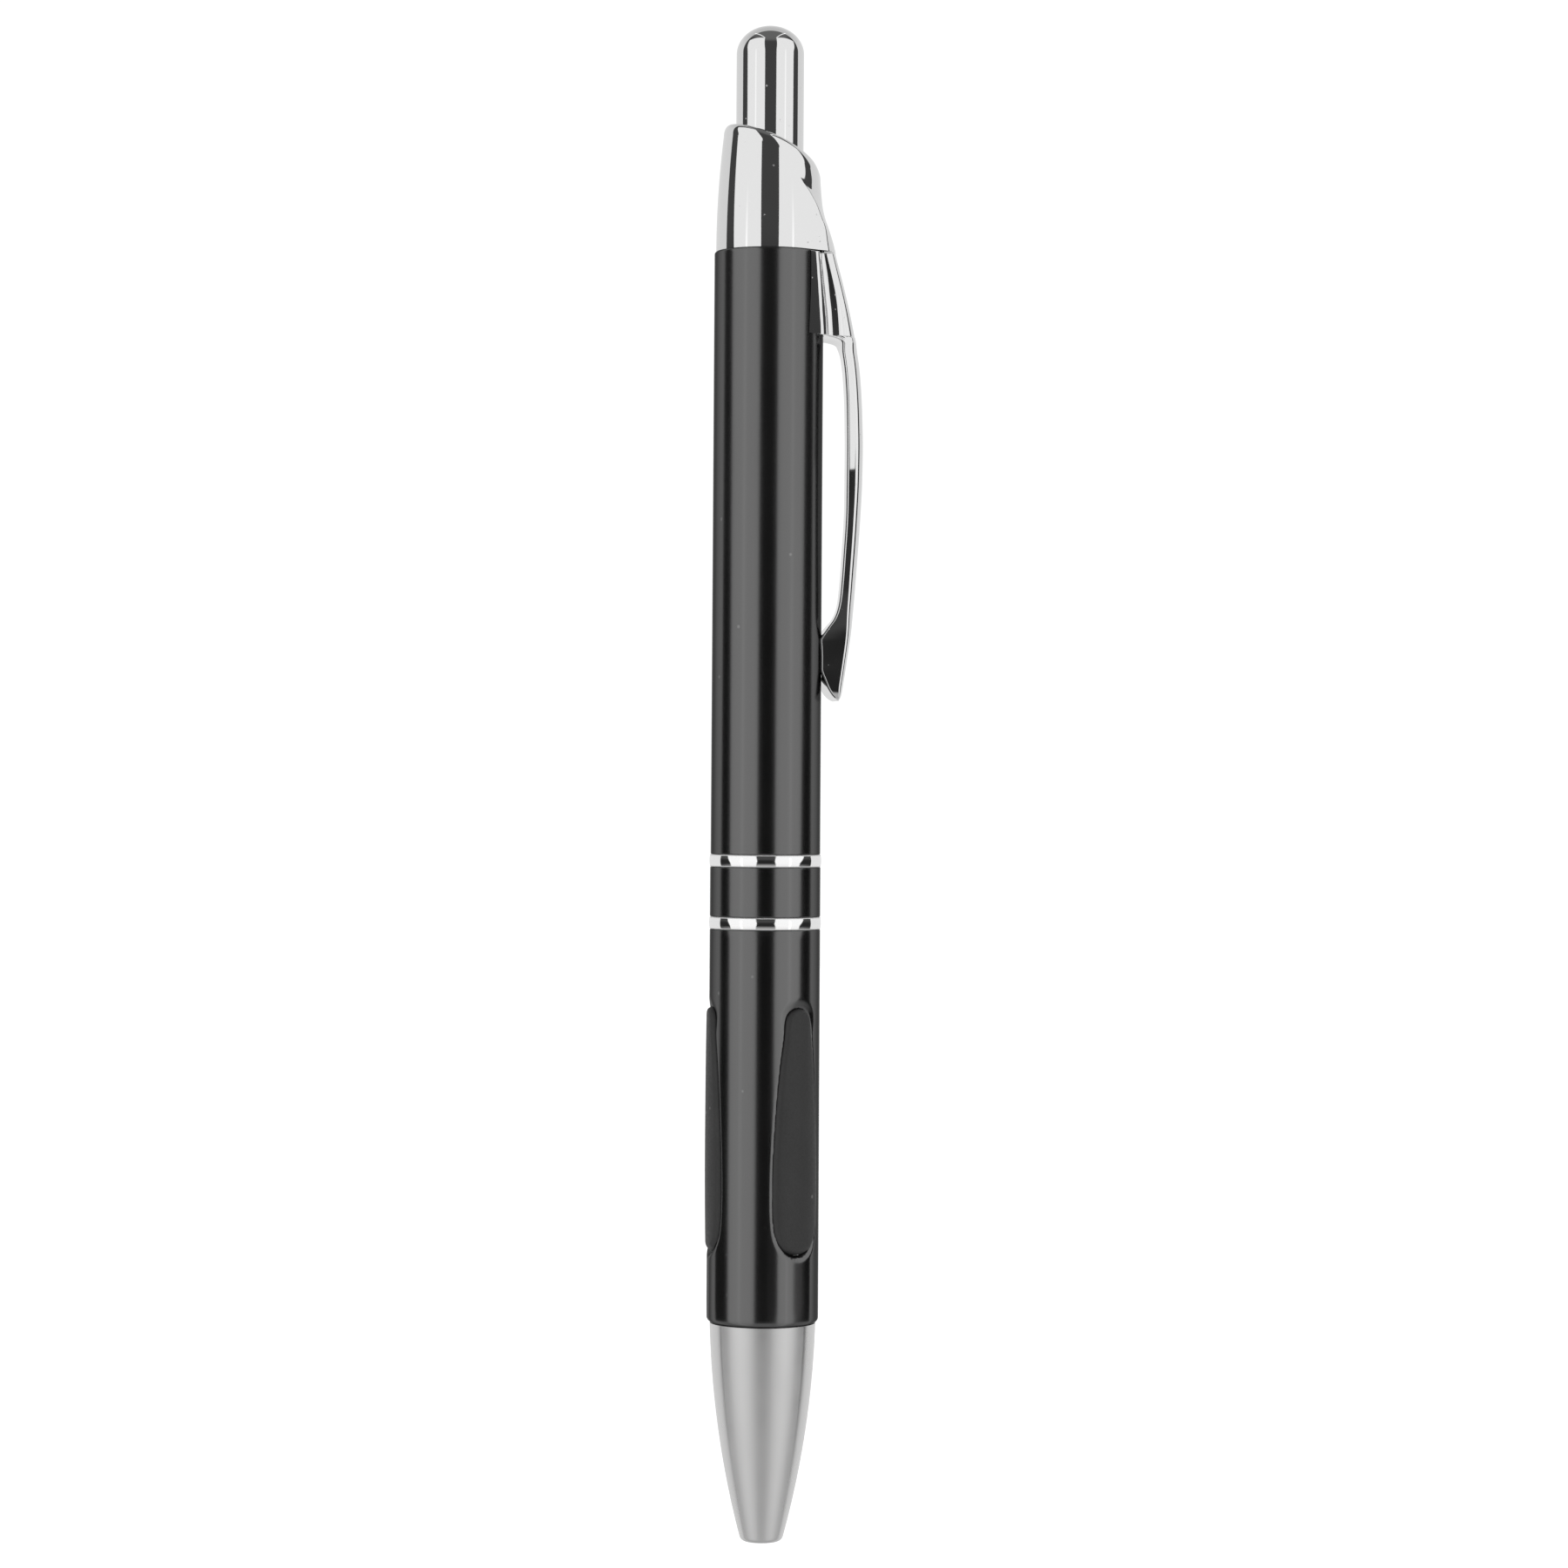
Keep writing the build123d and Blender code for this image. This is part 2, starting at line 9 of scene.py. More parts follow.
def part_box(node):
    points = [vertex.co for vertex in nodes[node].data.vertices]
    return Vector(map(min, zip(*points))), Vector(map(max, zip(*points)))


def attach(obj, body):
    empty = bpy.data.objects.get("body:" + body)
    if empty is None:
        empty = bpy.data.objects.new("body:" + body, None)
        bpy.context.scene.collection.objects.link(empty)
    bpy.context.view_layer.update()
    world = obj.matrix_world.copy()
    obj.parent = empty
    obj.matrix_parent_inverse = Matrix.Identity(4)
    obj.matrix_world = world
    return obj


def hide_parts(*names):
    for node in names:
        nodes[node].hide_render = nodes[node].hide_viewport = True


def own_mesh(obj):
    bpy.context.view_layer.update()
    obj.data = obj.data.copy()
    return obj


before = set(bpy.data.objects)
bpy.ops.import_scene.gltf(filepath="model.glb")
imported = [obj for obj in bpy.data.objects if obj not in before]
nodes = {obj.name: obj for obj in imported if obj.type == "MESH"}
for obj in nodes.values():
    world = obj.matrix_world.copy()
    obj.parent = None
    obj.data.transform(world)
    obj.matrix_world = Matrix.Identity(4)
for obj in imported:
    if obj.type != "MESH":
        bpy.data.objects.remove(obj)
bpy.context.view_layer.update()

MM = 0.001

# ---------------------------------------------------------------- camera and studio
# The pen is seen from the side, clip to the right, by a level camera about 0.4 m away that is rolled by a
# hair. The studio is two tall softboxes beside the camera, black between and behind them, and a white
# backdrop behind the pen; the floor is plain, pale and low enough for the point to come out above it.
view_turn = radians(-10)
camera_distance = 0.400
aim_height = 0.06996
aim_side = 0.00168
frame_width = 0.14495
camera_roll = radians(0.36)
toward_camera = Vector((sin(view_turn), -cos(view_turn), 0))
camera_right = Vector((cos(view_turn), sin(view_turn), 0))
up = Vector((0, 0, 1))

camera_data = bpy.data.cameras.new("studio_camera")
camera_data.lens_unit = "FOV"
camera_data.angle = 2 * atan2(frame_width / 2, camera_distance)
camera_data.clip_start = 0.01
camera = bpy.data.objects.new("studio_camera", camera_data)
bpy.context.scene.collection.objects.link(camera)
facing = Matrix((camera_right, up, toward_camera)).transposed().to_4x4()
place = Matrix.Translation(toward_camera * camera_distance + camera_right * aim_side + up * aim_height)
camera.matrix_world = place @ facing @ Matrix.Rotation(camera_roll, 4, "Z")
bpy.context.scene.camera = camera
bpy.context.scene.view_settings.view_transform = "Standard"


class Graph:
    """A short way to add nodes to one tree: each call makes a node and returns its first output."""

    def __init__(self, tree):
        self.tree = tree

    def add(self, kind, settings=None, **inputs):
        node = self.tree.nodes.new(kind)
        for name, value in (settings or {}).items():
            setattr(node, name, value)
        for name, value in inputs.items():
            key = int(name[1:]) if name[0] == "i" and name[1:].isdigit() else name.replace("_", " ")
            self.feed(node.inputs[key], value)
        return node

    def feed(self, socket, value):
        if isinstance(value, bpy.types.Node):
            value = value.outputs[0]
        if isinstance(value, bpy.types.NodeSocket):
            self.tree.links.new(value, socket)
        else:
            socket.default_value = value

    def math(self, operation, a, b=0.0, c=0.0):
        return self.add("ShaderNodeMath", {"operation": operation}, i0=a, i1=b, i2=c).outputs[0]

    def ramp(self, value, low, high, out_low=0.0, out_high=1.0):
        settings = {"interpolation_type": "SMOOTHSTEP"}
        node = self.add("ShaderNodeMapRange", settings, i0=value, i1=low, i2=high, i3=out_low, i4=out_high)
        return node.outputs[0]


rig_turn = view_turn + radians(1.75)
rig_front = (sin(rig_turn), -cos(rig_turn), 0)
rig_side = (cos(rig_turn), sin(rig_turn), 0)
softbox_inner = radians(17.75)
right_outer = radians(79.5)
left_outer = radians(82.0)
softbox_level = 1.0
hot_spot_level = 0.30
backdrop_level = 0.80
black_level = 0.020
black_level_high = 0.060
overhead_level = 0.15
table_level = 0.48
edge_softness = 0.012
inside_slope = 0.14             # the softboxes' inner edges lean apart this much as they rise
right_outer_slope = 0.60
left_outer_slope = 0.40
outer_low = -0.12               # below this height the outer edges run straight down
lamp_angle = radians(52)        # the lamp inside each softbox shows as a brighter line
lamp_low_share = 0.78
backdrop_edge = (-0.300, -0.325)
backdrop_high_share = 0.76
black_high = (0.0, 0.17)
overhead_rise = (0.70, 0.92)
table_rise = (-0.14, -0.42)
top_edge = (0.578, 0.688, -0.440)       # the softboxes' top edge, as parts of side, front and rise
corner_edge = (-0.911, -0.228, 0.345)   # a thin bright strip where the ceiling panels meet
corner_width = (0.022, 0.014)
seen_strength = 1.05

world = bpy.data.worlds.new("studio")
world.use_nodes = True
bpy.context.scene.world = world
world.node_tree.nodes.clear()
sky = Graph(world.node_tree)
direction = sky.add("ShaderNodeTexCoord").outputs["Generated"]


def facing_part(axis):
    """How far a direction points along this axis, from -1 to 1."""
    return sky.add(
        "ShaderNodeVectorMath", {"operation": "DOT_PRODUCT"}, i0=direction, i1=axis
    ).outputs["Value"]


front = facing_part(rig_front)
signed_side = facing_part(rig_side)
side = sky.math("ABSOLUTE", signed_side)
signed_rise = facing_part((0, 0, 1))
rise = sky.math("ABSOLUTE", signed_rise)


def edge_plane(side_part, front_part, rise_part, rise_value=None):
    """How far a direction lies inside one straight edge of a softbox."""
    total = sky.math("MULTIPLY", side, side_part)
    total = sky.math("MULTIPLY_ADD", front, front_part, total)
    return sky.math("MULTIPLY_ADD", rise if rise_value is None else rise_value, rise_part, total)


def blend(share, a, b):
    """From brightness a to brightness b by this share."""
    return sky.add("ShaderNodeMix", None, i0=share, i2=a, i3=b).outputs[0]


inside = edge_plane(cos(softbox_inner), -sin(softbox_inner), -inside_slope)
outer_rise = sky.math("MAXIMUM", signed_rise, outer_low)
right_side = edge_plane(-cos(right_outer), sin(right_outer), right_outer_slope, outer_rise)
left_side = edge_plane(-cos(left_outer), sin(left_outer), left_outer_slope, outer_rise)
outside = blend(sky.math("GREATER_THAN", signed_side, 0.0), left_side, right_side)
below_top = edge_plane(*top_edge)
softbox = sky.math("MULTIPLY", sky.ramp(inside, 0, edge_softness), sky.ramp(outside, 0, edge_softness))
softbox = sky.math("MULTIPLY", softbox, sky.ramp(below_top, 0, edge_softness))
lamp_line = sky.math("ABSOLUTE", edge_plane(cos(lamp_angle), -sin(lamp_angle), 0))
hot_spot = sky.math("MULTIPLY", sky.ramp(lamp_line, 0.060, 0.012), sky.ramp(signed_rise, 0.27, 0.10))
lamp = sky.ramp(signed_rise, -0.10, -0.60, softbox_level, softbox_level * lamp_low_share)
lamp = sky.math("MULTIPLY_ADD", hot_spot, hot_spot_level, lamp)
backdrop = sky.ramp(front, *backdrop_edge)
corner_line = sky.math("ABSOLUTE", edge_plane(*corner_edge))
corner_strip = sky.math("MULTIPLY", sky.ramp(corner_line, *corner_width), sky.ramp(signed_rise, 0.80, 0.82))
corner_strip = sky.math("MULTIPLY", corner_strip, sky.ramp(front, -0.40, -0.38))
corner_strip = sky.math("MULTIPLY", corner_strip, sky.ramp(front, 0.36, 0.34))
level = sky.ramp(signed_rise, *black_high, black_level, black_level_high)
level = blend(sky.ramp(signed_rise, *overhead_rise), level, overhead_level)
level = blend(sky.ramp(signed_rise, *table_rise), level, table_level)
level = blend(softbox, level, lamp)
backdrop_fall = sky.ramp(rise, 0.3, 0.9, backdrop_level, backdrop_level * backdrop_high_share)
level = blend(backdrop, level, backdrop_fall)
level = sky.math("ADD", level, corner_strip)
seen_white = sky.add("ShaderNodeBackground", None, Color=(1, 1, 1, 1), Strength=seen_strength)
lit = sky.add("ShaderNodeBackground", None, Color=(1, 1, 1, 1), Strength=level)
camera_ray = sky.add("ShaderNodeLightPath").outputs["Is Camera Ray"]
mixed = sky.add("ShaderNodeMixShader", None, i0=camera_ray, i1=lit, i2=seen_white)
sky.add("ShaderNodeOutputWorld", None, Surface=mixed)

floor_drop = 0.012
floor_half = 1.5
floor_mesh = bpy.data.meshes.new("floor")
floor_corners = [
    (x * floor_half, y * floor_half, -floor_drop) for x, y in ((-1, -1), (1, -1), (1, 1), (-1, 1))
]
floor_mesh.from_pydata(floor_corners, [], [(0, 1, 2, 3)])
floor = bpy.data.objects.new("floor", floor_mesh)
bpy.context.scene.collection.objects.link(floor)
floor.visible_glossy = False
floor.visible_diffuse = False
floor_paper = bpy.data.materials.new("floor_paper")
floor_paper.use_nodes = True
floor_paper.node_tree.nodes.clear()
paper = Graph(floor_paper.node_tree)
paper_fibre = paper.add("ShaderNodeTexNoise", None, Scale=900.0, Detail=4.0)
paper_tone = paper.add(
    "ShaderNodeMix", {"data_type": "RGBA"}, i0=paper_fibre, i6=(0.88, 0.88, 0.88, 1),
    i7=(0.93, 0.93, 0.93, 1),
)
paper_shader = paper.add(
    "ShaderNodeBsdfPrincipled", None, Base_Color=paper_tone.outputs[2], Roughness=0.9,
    Emission_Color=(1, 1, 1, 1), Emission_Strength=0.62,
)
see_through = paper.add("ShaderNodeBsdfTransparent")
from_below = paper.add("ShaderNodeNewGeometry").outputs["Backfacing"]
paper_mix = paper.add("ShaderNodeMixShader", None, i0=from_below, i1=paper_shader, i2=see_through)
paper.add("ShaderNodeOutputMaterial", None, Surface=paper_mix)
floor_mesh.materials.append(floor_paper)

# ---------------------------------------------------------------- upper barrel and centre band
# Two lengths of drawn aluminium tube with their edges broken, lacquered gloss black over a bright base, so
# the studio shows in them darkly. The upper one carries the collar, the short one sits between the rings.
lathe = bpy.data.node_groups.new("turned_on_the_axis", "GeometryNodeTree")
lathe.interface.new_socket("Geometry", in_out="INPUT", socket_type="NodeSocketGeometry")
lathe_segments = lathe.interface.new_socket("Segments", in_out="INPUT", socket_type="NodeSocketInt")
lathe_finish = lathe.interface.new_socket("Finish", in_out="INPUT", socket_type="NodeSocketMaterial")
lathe.interface.new_socket("Geometry", in_out="OUTPUT", socket_type="NodeSocketGeometry")
turn = Graph(lathe)
turn_in = turn.add("NodeGroupInput")
corner_count = turn.add(
    "GeometryNodeAttributeDomainSize", None, Geometry=turn_in.outputs[0]
).outputs["Point Count"]
columns = turn.math("ADD", turn_in.outputs["Segments"], 1)
turn_grid = turn.add(
    "GeometryNodeMeshGrid", None, Vertices_X=turn.math("ADD", corner_count, 1), Vertices_Y=columns
)
turn_index = turn.add("GeometryNodeInputIndex")
row = turn.math("FLOOR", turn.math("DIVIDE", turn.math("ADD", turn_index, 0.5), columns))
column = turn.math("SUBTRACT", turn_index, turn.math("MULTIPLY", row, columns))
corner = turn.math("FLOORED_MODULO", row, corner_count)
turn_place = turn.add("GeometryNodeInputPosition")
section_point = turn.add(
    "GeometryNodeSampleIndex", {"data_type": "FLOAT_VECTOR"}, Geometry=turn_in.outputs[0],
    Value=turn_place, Index=corner,
)
section_parts = turn.add("ShaderNodeSeparateXYZ", None, i0=section_point)
turn_angle = turn.math("MULTIPLY", turn.math("DIVIDE", column, turn_in.outputs["Segments"]), 2 * pi)
turned_place = turn.add(
    "ShaderNodeCombineXYZ",
    None,
    X=turn.math("MULTIPLY", section_parts.outputs["X"], turn.math("COSINE", turn_angle)),
    Y=turn.math("MULTIPLY", section_parts.outputs["X"], turn.math("SINE", turn_angle)),
    Z=section_parts.outputs["Z"],
)
turned = turn.add(
    "GeometryNodeSetPosition", None, Geometry=turn_grid.outputs["Mesh"], Position=turned_place
)
turned = turn.add("GeometryNodeMergeByDistance", None, Geometry=turned, Distance=1e-7)
turned = turn.add("GeometryNodeRealizeInstances", None, Geometry=turned)
turned = turn.add("GeometryNodeSetMaterial", None, Geometry=turned, Material=turn_in.outputs["Finish"])
turn.add("NodeGroupOutput", None, Geometry=turned)


def settle(mesh, sharp_angle=35):
    """Faces outwards and smooth, with an edge only where the surface really turns."""
    shell = bmesh.new()
    shell.from_mesh(mesh)
    bmesh.ops.remove_doubles(shell, verts=shell.verts, dist=1e-7)
    bmesh.ops.recalc_face_normals(shell, faces=shell.faces)
    shell.to_mesh(mesh)
    shell.free()
    mesh.shade_smooth()
    mesh.set_sharp_from_angle(angle=radians(sharp_angle))


def place_piece(mesh, name, body, replaced):
    """Puts a finished mesh in the scene, riding on its body in place of its plain CAD node."""
    piece = bpy.data.objects.new(name, mesh)
    bpy.context.scene.collection.objects.link(piece)
    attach(piece, body)
    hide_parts(replaced)
    return piece


def grown(base_mesh, tree, values):
    """The plain mesh that a node tree makes of base_mesh, with the tree's named inputs set."""
    holder = bpy.data.objects.new("holder", base_mesh)
    bpy.context.scene.collection.objects.link(holder)
    modifier = holder.modifiers.new("grow", "NODES")
    modifier.node_group = tree
    for socket, value in values.items():
        modifier[socket.identifier] = value
    bpy.context.view_layer.update()
    result = bpy.data.meshes.new_from_object(holder.evaluated_get(bpy.context.evaluated_depsgraph_get()))
    bpy.data.objects.remove(holder)
    return result


def eased(points, steps=5):
    """A closed outline of (radius, height, corner radius) in mm, each corner rounded by a true arc."""
    outline = []
    count = len(points)
    for index in range(count):
        before = Vector(points[index - 1][:2])
        here = Vector(points[index][:2])
        after = Vector(points[(index + 1) % count][:2])
        size = points[index][2]
        if size == 0:
            outline.append(here)
            continue
        back = (before - here).normalized()
        ahead = (after - here).normalized()
        half_angle = acos(max(-1, min(1, back.dot(ahead)))) / 2
        reach = size / tan(half_angle)
        middle = here + (back + ahead).normalized() * size / sin(half_angle)
        start = here + back * reach
        finish = here + ahead * reach
        support = size * 0.6
        if (before - start).length > 2 * support:
            outline.append(start + back * support)
        from_angle = atan2(*reversed(start - middle))
        sweep = (atan2(*reversed(finish - middle)) - from_angle + pi) % (2 * pi) - pi
        for step in range(steps + 1):
            angle = from_angle + sweep * step / steps
            outline.append(middle + Vector((cos(angle), sin(angle))) * size)
        if (after - finish).length > 2 * support:
            outline.append(finish + ahead * support)
    return outline


def turn_piece(name, outline, body, finish, replaced, segments=192):
    """A piece turned on the pen's axis from a closed outline in mm."""
    section = bpy.data.meshes.new(name + "_section")
    corners = [(r * MM, 0, z * MM) for r, z in outline]
    edges = [(i, (i + 1) % len(corners)) for i in range(len(corners))]
    section.from_pydata(corners, edges, [])
    mesh = grown(section, lathe, {lathe_segments: segments, lathe_finish: finish})
    mesh.name = name
    settle(mesh)
    return place_piece(mesh, name, body, replaced)


def shader_group(name, inputs, outputs):
    """An empty shader group with named number inputs and outputs, and a Graph to fill it."""
    group = bpy.data.node_groups.new(name, "ShaderNodeTree")
    for label, value in inputs.items():
        group.interface.new_socket(
            label, in_out="INPUT", socket_type="NodeSocketFloat"
        ).default_value = value
    for label, kind in outputs.items():
        group.interface.new_socket(label, in_out="OUTPUT", socket_type=kind)
    return group, Graph(group)


# Handling marks: a cloudy change of gloss from fingers, with fine hair scratches running along the pen.
handling_group, handling = shader_group(
    "handling_marks",
    {"Cloud Scale": 160.0, "Scratch Scale": 900.0, "Low": 0.1, "High": 0.2},
    {"Roughness": "NodeSocketFloat", "Height": "NodeSocketFloat"},
)
handling_in = handling.add("NodeGroupInput")
object_place = handling.add("ShaderNodeTexCoord").outputs["Object"]
cloud = handling.add(
    "ShaderNodeTexNoise", None, Vector=object_place, Scale=handling_in.outputs["Cloud Scale"], Detail=3.0
)
along = handling.add("ShaderNodeMapping", None, Vector=object_place, Scale=(1.0, 1.0, 0.06))
hairs = handling.add(
    "ShaderNodeTexNoise", None, Vector=along, Scale=handling_in.outputs["Scratch Scale"], Detail=5.0,
    Roughness=0.7,
)
hair_mask = handling.ramp(hairs.outputs[0], 0.62, 0.74)
marks = handling.math("MULTIPLY_ADD", hair_mask, 0.35, cloud.outputs[0])
spread = handling.math("SUBTRACT", handling_in.outputs["High"], handling_in.outputs["Low"])
gloss = handling.math("MULTIPLY_ADD", marks, spread, handling_in.outputs["Low"])
handling.add("NodeGroupOutput", None, Roughness=gloss, Height=hairs.outputs[0])

# Dust: sparse pale specks that settle on polished metal.
dust_group, dust = shader_group(
    "dust_specks", {"Scale": 2600.0, "Amount": 0.1}, {"Mask": "NodeSocketFloat"}
)
dust_in = dust.add("NodeGroupInput")
dust_place = dust.add("ShaderNodeTexCoord").outputs["Object"]
speck_cells = dust.add(
    "ShaderNodeTexVoronoi", None, Vector=dust_place, Scale=dust_in.outputs["Scale"], Randomness=1.0
)
speck_pick = dust.add("ShaderNodeSeparateColor", None, i0=speck_cells.outputs["Color"])
speck_size = dust.ramp(speck_cells.outputs["Distance"], 0.30, 0.16)
speck_chosen = dust.math("LESS_THAN", speck_pick.outputs[0], dust_in.outputs["Amount"])
dust.add("NodeGroupOutput", None, Mask=dust.math("MULTIPLY", speck_size, speck_chosen))


def new_finish(name):
    """An empty material with its graph and its shader, which is joined to the output."""
    finish = bpy.data.materials.new(name)
    finish.use_nodes = True
    finish.node_tree.nodes.clear()
    graph = Graph(finish.node_tree)
    shader = graph.add("ShaderNodeBsdfPrincipled")
    graph.add("ShaderNodeOutputMaterial", None, Surface=shader)
    return finish, graph, shader


def use_group(graph, group, **inputs):
    """A shader group set into a finish, with its inputs given by name."""
    return graph.add("ShaderNodeGroup", {"node_tree": group}, **inputs)


def tone(value, warmth=0.0):
    """A neutral colour, a little warm or cool."""
    return (value * (1 + warmth), value, value * (1 - warmth), 1.0)


black_lacquer, lacquer, lacquer_shader = new_finish("black_lacquer")
lacquer_marks = use_group(lacquer, handling_group, Low=0.17, High=0.22)
lacquer_dust = use_group(lacquer, dust_group, Scale=1500.0, Amount=0.012)
lacquer_colour = lacquer.add(
    "ShaderNodeMix", {"data_type": "RGBA"}, i0=lacquer_dust, i6=tone(0.150), i7=tone(0.22)
)
lacquer_bump = lacquer.add(
    "ShaderNodeBump", None, Strength=0.02, Distance=0.00002, Height=lacquer_marks.outputs["Height"]
)
lacquer.feed(lacquer_shader.inputs["Base Color"], lacquer_colour.outputs[2])
lacquer.feed(lacquer_shader.inputs["Roughness"], lacquer_marks.outputs["Roughness"])
lacquer.feed(lacquer_shader.inputs["Normal"], lacquer_bump)
lacquer_shader.inputs["Metallic"].default_value = 1.0
lacquer_shader.inputs["Specular Tint"].default_value = (0.30, 0.30, 0.30, 1)

seat_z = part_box("centre_band")[0].z / MM
band_top_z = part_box("centre_band")[1].z / MM
barrel_bottom_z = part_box("upper_barrel")[0].z / MM
collar_seam_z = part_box("upper_barrel")[1].z / MM
lacquer_thickness = 0.04
barrel_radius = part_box("upper_barrel")[1].y / MM + lacquer_thickness
band_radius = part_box("centre_band")[1].y / MM + lacquer_thickness
tube_bore = 4.50
ring_bore = 4.45
tube_edge = 0.10
collar_end_radius = barrel_radius - 0.02
collar_end_edge = 0.22

upper_barrel_outline = eased([
    (tube_bore, barrel_bottom_z, 0),
    (barrel_radius, barrel_bottom_z, tube_edge),
    (collar_end_radius, collar_seam_z, collar_end_edge),
    (tube_bore, collar_seam_z, 0),
])
turn_piece(
    "upper_barrel_shell", upper_barrel_outline, "root", black_lacquer, "upper_barrel"
)
centre_band_outline = eased([
    (ring_bore, seat_z, 0),
    (band_radius, seat_z, tube_edge),
    (band_radius, band_top_z, tube_edge),
    (ring_bore, band_top_z, 0),
])
turn_piece("centre_band_shell", centre_band_outline, "root", black_lacquer, "centre_band")

# ---------------------------------------------------------------- trim rings
# Two rings turned from bright aluminium, with a barrelled face that stands a few hundredths proud of the
# lacquer, fine turning lines round it and duller, broken edges. The coupler holds them between the tubes.
trim_metal, trim, trim_shader = new_finish("trim_metal")
trim_place = trim.add("ShaderNodeTexCoord").outputs["Object"]
trim_stretch = trim.add("ShaderNodeMapping", None, Vector=trim_place, Scale=(0.02, 0.02, 1.0))
turning_lines = trim.add("ShaderNodeTexNoise", None, Vector=trim_stretch, Scale=24000.0, Detail=3.0)
trim_marks = use_group(trim, handling_group, Low=0.05, High=0.10)
trim_bump = trim.add(
    "ShaderNodeBump", None, Strength=0.05, Distance=0.00001, Height=turning_lines.outputs[0]
)
trim_colour = trim.add(
    "ShaderNodeMix", {"data_type": "RGBA"}, i0=turning_lines.outputs[0], i6=tone(0.90), i7=tone(0.96)
)
trim_normal = trim.add("ShaderNodeNewGeometry").outputs["Normal"]
trim_up = trim.add("ShaderNodeSeparateXYZ", None, Vector=trim_normal).outputs["Z"]
trim_edge = trim.ramp(trim.math("ABSOLUTE", trim_up), 0.22, 0.42)
trim_rough = trim.math("MULTIPLY_ADD", trim_edge, 0.50, trim_marks.outputs["Roughness"])
trim.feed(trim_shader.inputs["Base Color"], trim_colour.outputs[2])
trim.feed(trim_shader.inputs["Roughness"], trim_rough)
trim.feed(trim_shader.inputs["Normal"], trim_bump)
trim_shader.inputs["Metallic"].default_value = 1.0

ring_edge = 0.156
ring_crown = 0.07
crown_steps = 10


def ring_outline(bottom_z, top_z):
    """A ring's section: bore, flat ends, and a face that swells in the middle."""
    face = []
    for step in range(crown_steps + 1):
        part = step / crown_steps
        swell = ring_crown * (1 - (2 * part - 1) ** 2)
        face.append((band_radius + swell, bottom_z + (top_z - bottom_z) * part, 0))
    face[0] = (*face[0][:2], ring_edge)
    face[-1] = (*face[-1][:2], ring_edge)
    return eased([(ring_bore, bottom_z, 0), *face, (ring_bore, top_z, 0)], steps=4)


for ring_name in ("lower_trim_ring", "upper_trim_ring"):
    ring_low, ring_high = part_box(ring_name)
    outline = ring_outline(ring_low.z / MM, ring_high.z / MM)
    turn_piece(ring_name + "_bright", outline, "root", trim_metal, ring_name)

# ---------------------------------------------------------------- lower barrel
# A drawn aluminium tube in the same lacquer. Three teardrop windows are pierced in it, and the press dishes
# the wall round each one and raises a low ridge on both sides below it, so the lacquer turns inward to
# meet the rubber. Its lower edge is rolled over.
grip_angles = (-60, 60, 180)
pad_low, pad_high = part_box("grip_pad_3")
grip_bottom_z = pad_low.z / MM
grip_top_z = pad_high.z / MM - 0.04
grip_side = [          # half width and height, from the toe up
    (1.36, 26.92), (1.82, 27.45), (2.26, 28.4), (2.56, 31.8),
    (2.40, 37.8), (1.90, 44.2), (1.50, 47.3), (1.16, 48.8),
]


def closed_spline(points, count):
    """A smooth closed cubic through the points, sampled evenly in its parameter."""
    p = np.array(points, float)
    n = len(p)
    gap = np.linalg.norm(np.roll(p, -1, 0) - p, axis=1) ** 0.5
    matrix = np.zeros((n, n))
    right = np.zeros((n, 2))
    for i in range(n):
        h0, h1 = gap[i - 1], gap[i]
        matrix[i, i - 1] += h0
        matrix[i, i] += 2 * (h0 + h1)
        matrix[i, (i + 1) % n] += h1
        right[i] = 6 * ((p[(i + 1) % n] - p[i]) / h1 - (p[i] - p[i - 1]) / h0)
    bend = np.linalg.solve(matrix, right)
    start = np.concatenate([[0], np.cumsum(gap)])
    samples = []
    for t in np.linspace(0, start[-1], count, endpoint=False):
        i = min(int(np.searchsorted(start, t, "right")) - 1, n - 1)
        j, h = (i + 1) % n, gap[i]
        a, b = start[i] + h - t, t - start[i]
        value = (bend[i] * a**3 + bend[j] * b**3) / (6 * h)
        samples.append(value + (p[i] / h - bend[i] * h / 6) * a + (p[j] / h - bend[j] * h / 6) * b)
    return np.array(samples)


outline_count = 240
grip_points = [(0, grip_bottom_z), *grip_side, (0, grip_top_z), *[(-x, z) for x, z in reversed(grip_side)]]
grip_outline = closed_spline(grip_points, outline_count)
outline_step = np.roll(grip_outline, -1, 0) - np.roll(grip_outline, 1, 0)
grip_inward = np.stack([-outline_step[:, 1], outline_step[:, 0]], 1)
grip_inward /= np.linalg.norm(grip_inward, axis=1)[:, None]

lower_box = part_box("lower_barrel")
lower_bottom_z = lower_box[0].z / MM
lower_top_z = lower_box[1].z / MM
grip_end_radius = lower_box[1].y / MM + lacquer_thickness
joint_radius = 5.06 + lacquer_thickness
dish_heights = [
    grip_bottom_z - 2, grip_bottom_z + 0.6, grip_bottom_z + 3,
    grip_top_z - 2.5, grip_top_z - 0.4, grip_top_z + 2,
]
dish_reaches = [0.40, 0.40, 0.28, 0.28, 0.95, 1.0]
dish_depths = [0.05, 0.05, 0.04, 0.04, 0.15, 0.16]
ridge_height = 0.085
ridge_span = radians(34)
ridge_heights = [20.3, 22.6, 27.5, 30.5]
ridge_shares = [0.62, 1.0, 1.0, 0.0]
seat_drop = 0.12
seat_reach = 0.20
window_depth = 0.35
window_lip = 0.12        # the wall falls to the window's full depth over this distance
straight_length = 5.6    # the grip end keeps one radius up to this height above its lower edge
near_window = radians(70)
far_away = 50.0
barrel_roll = 0.48


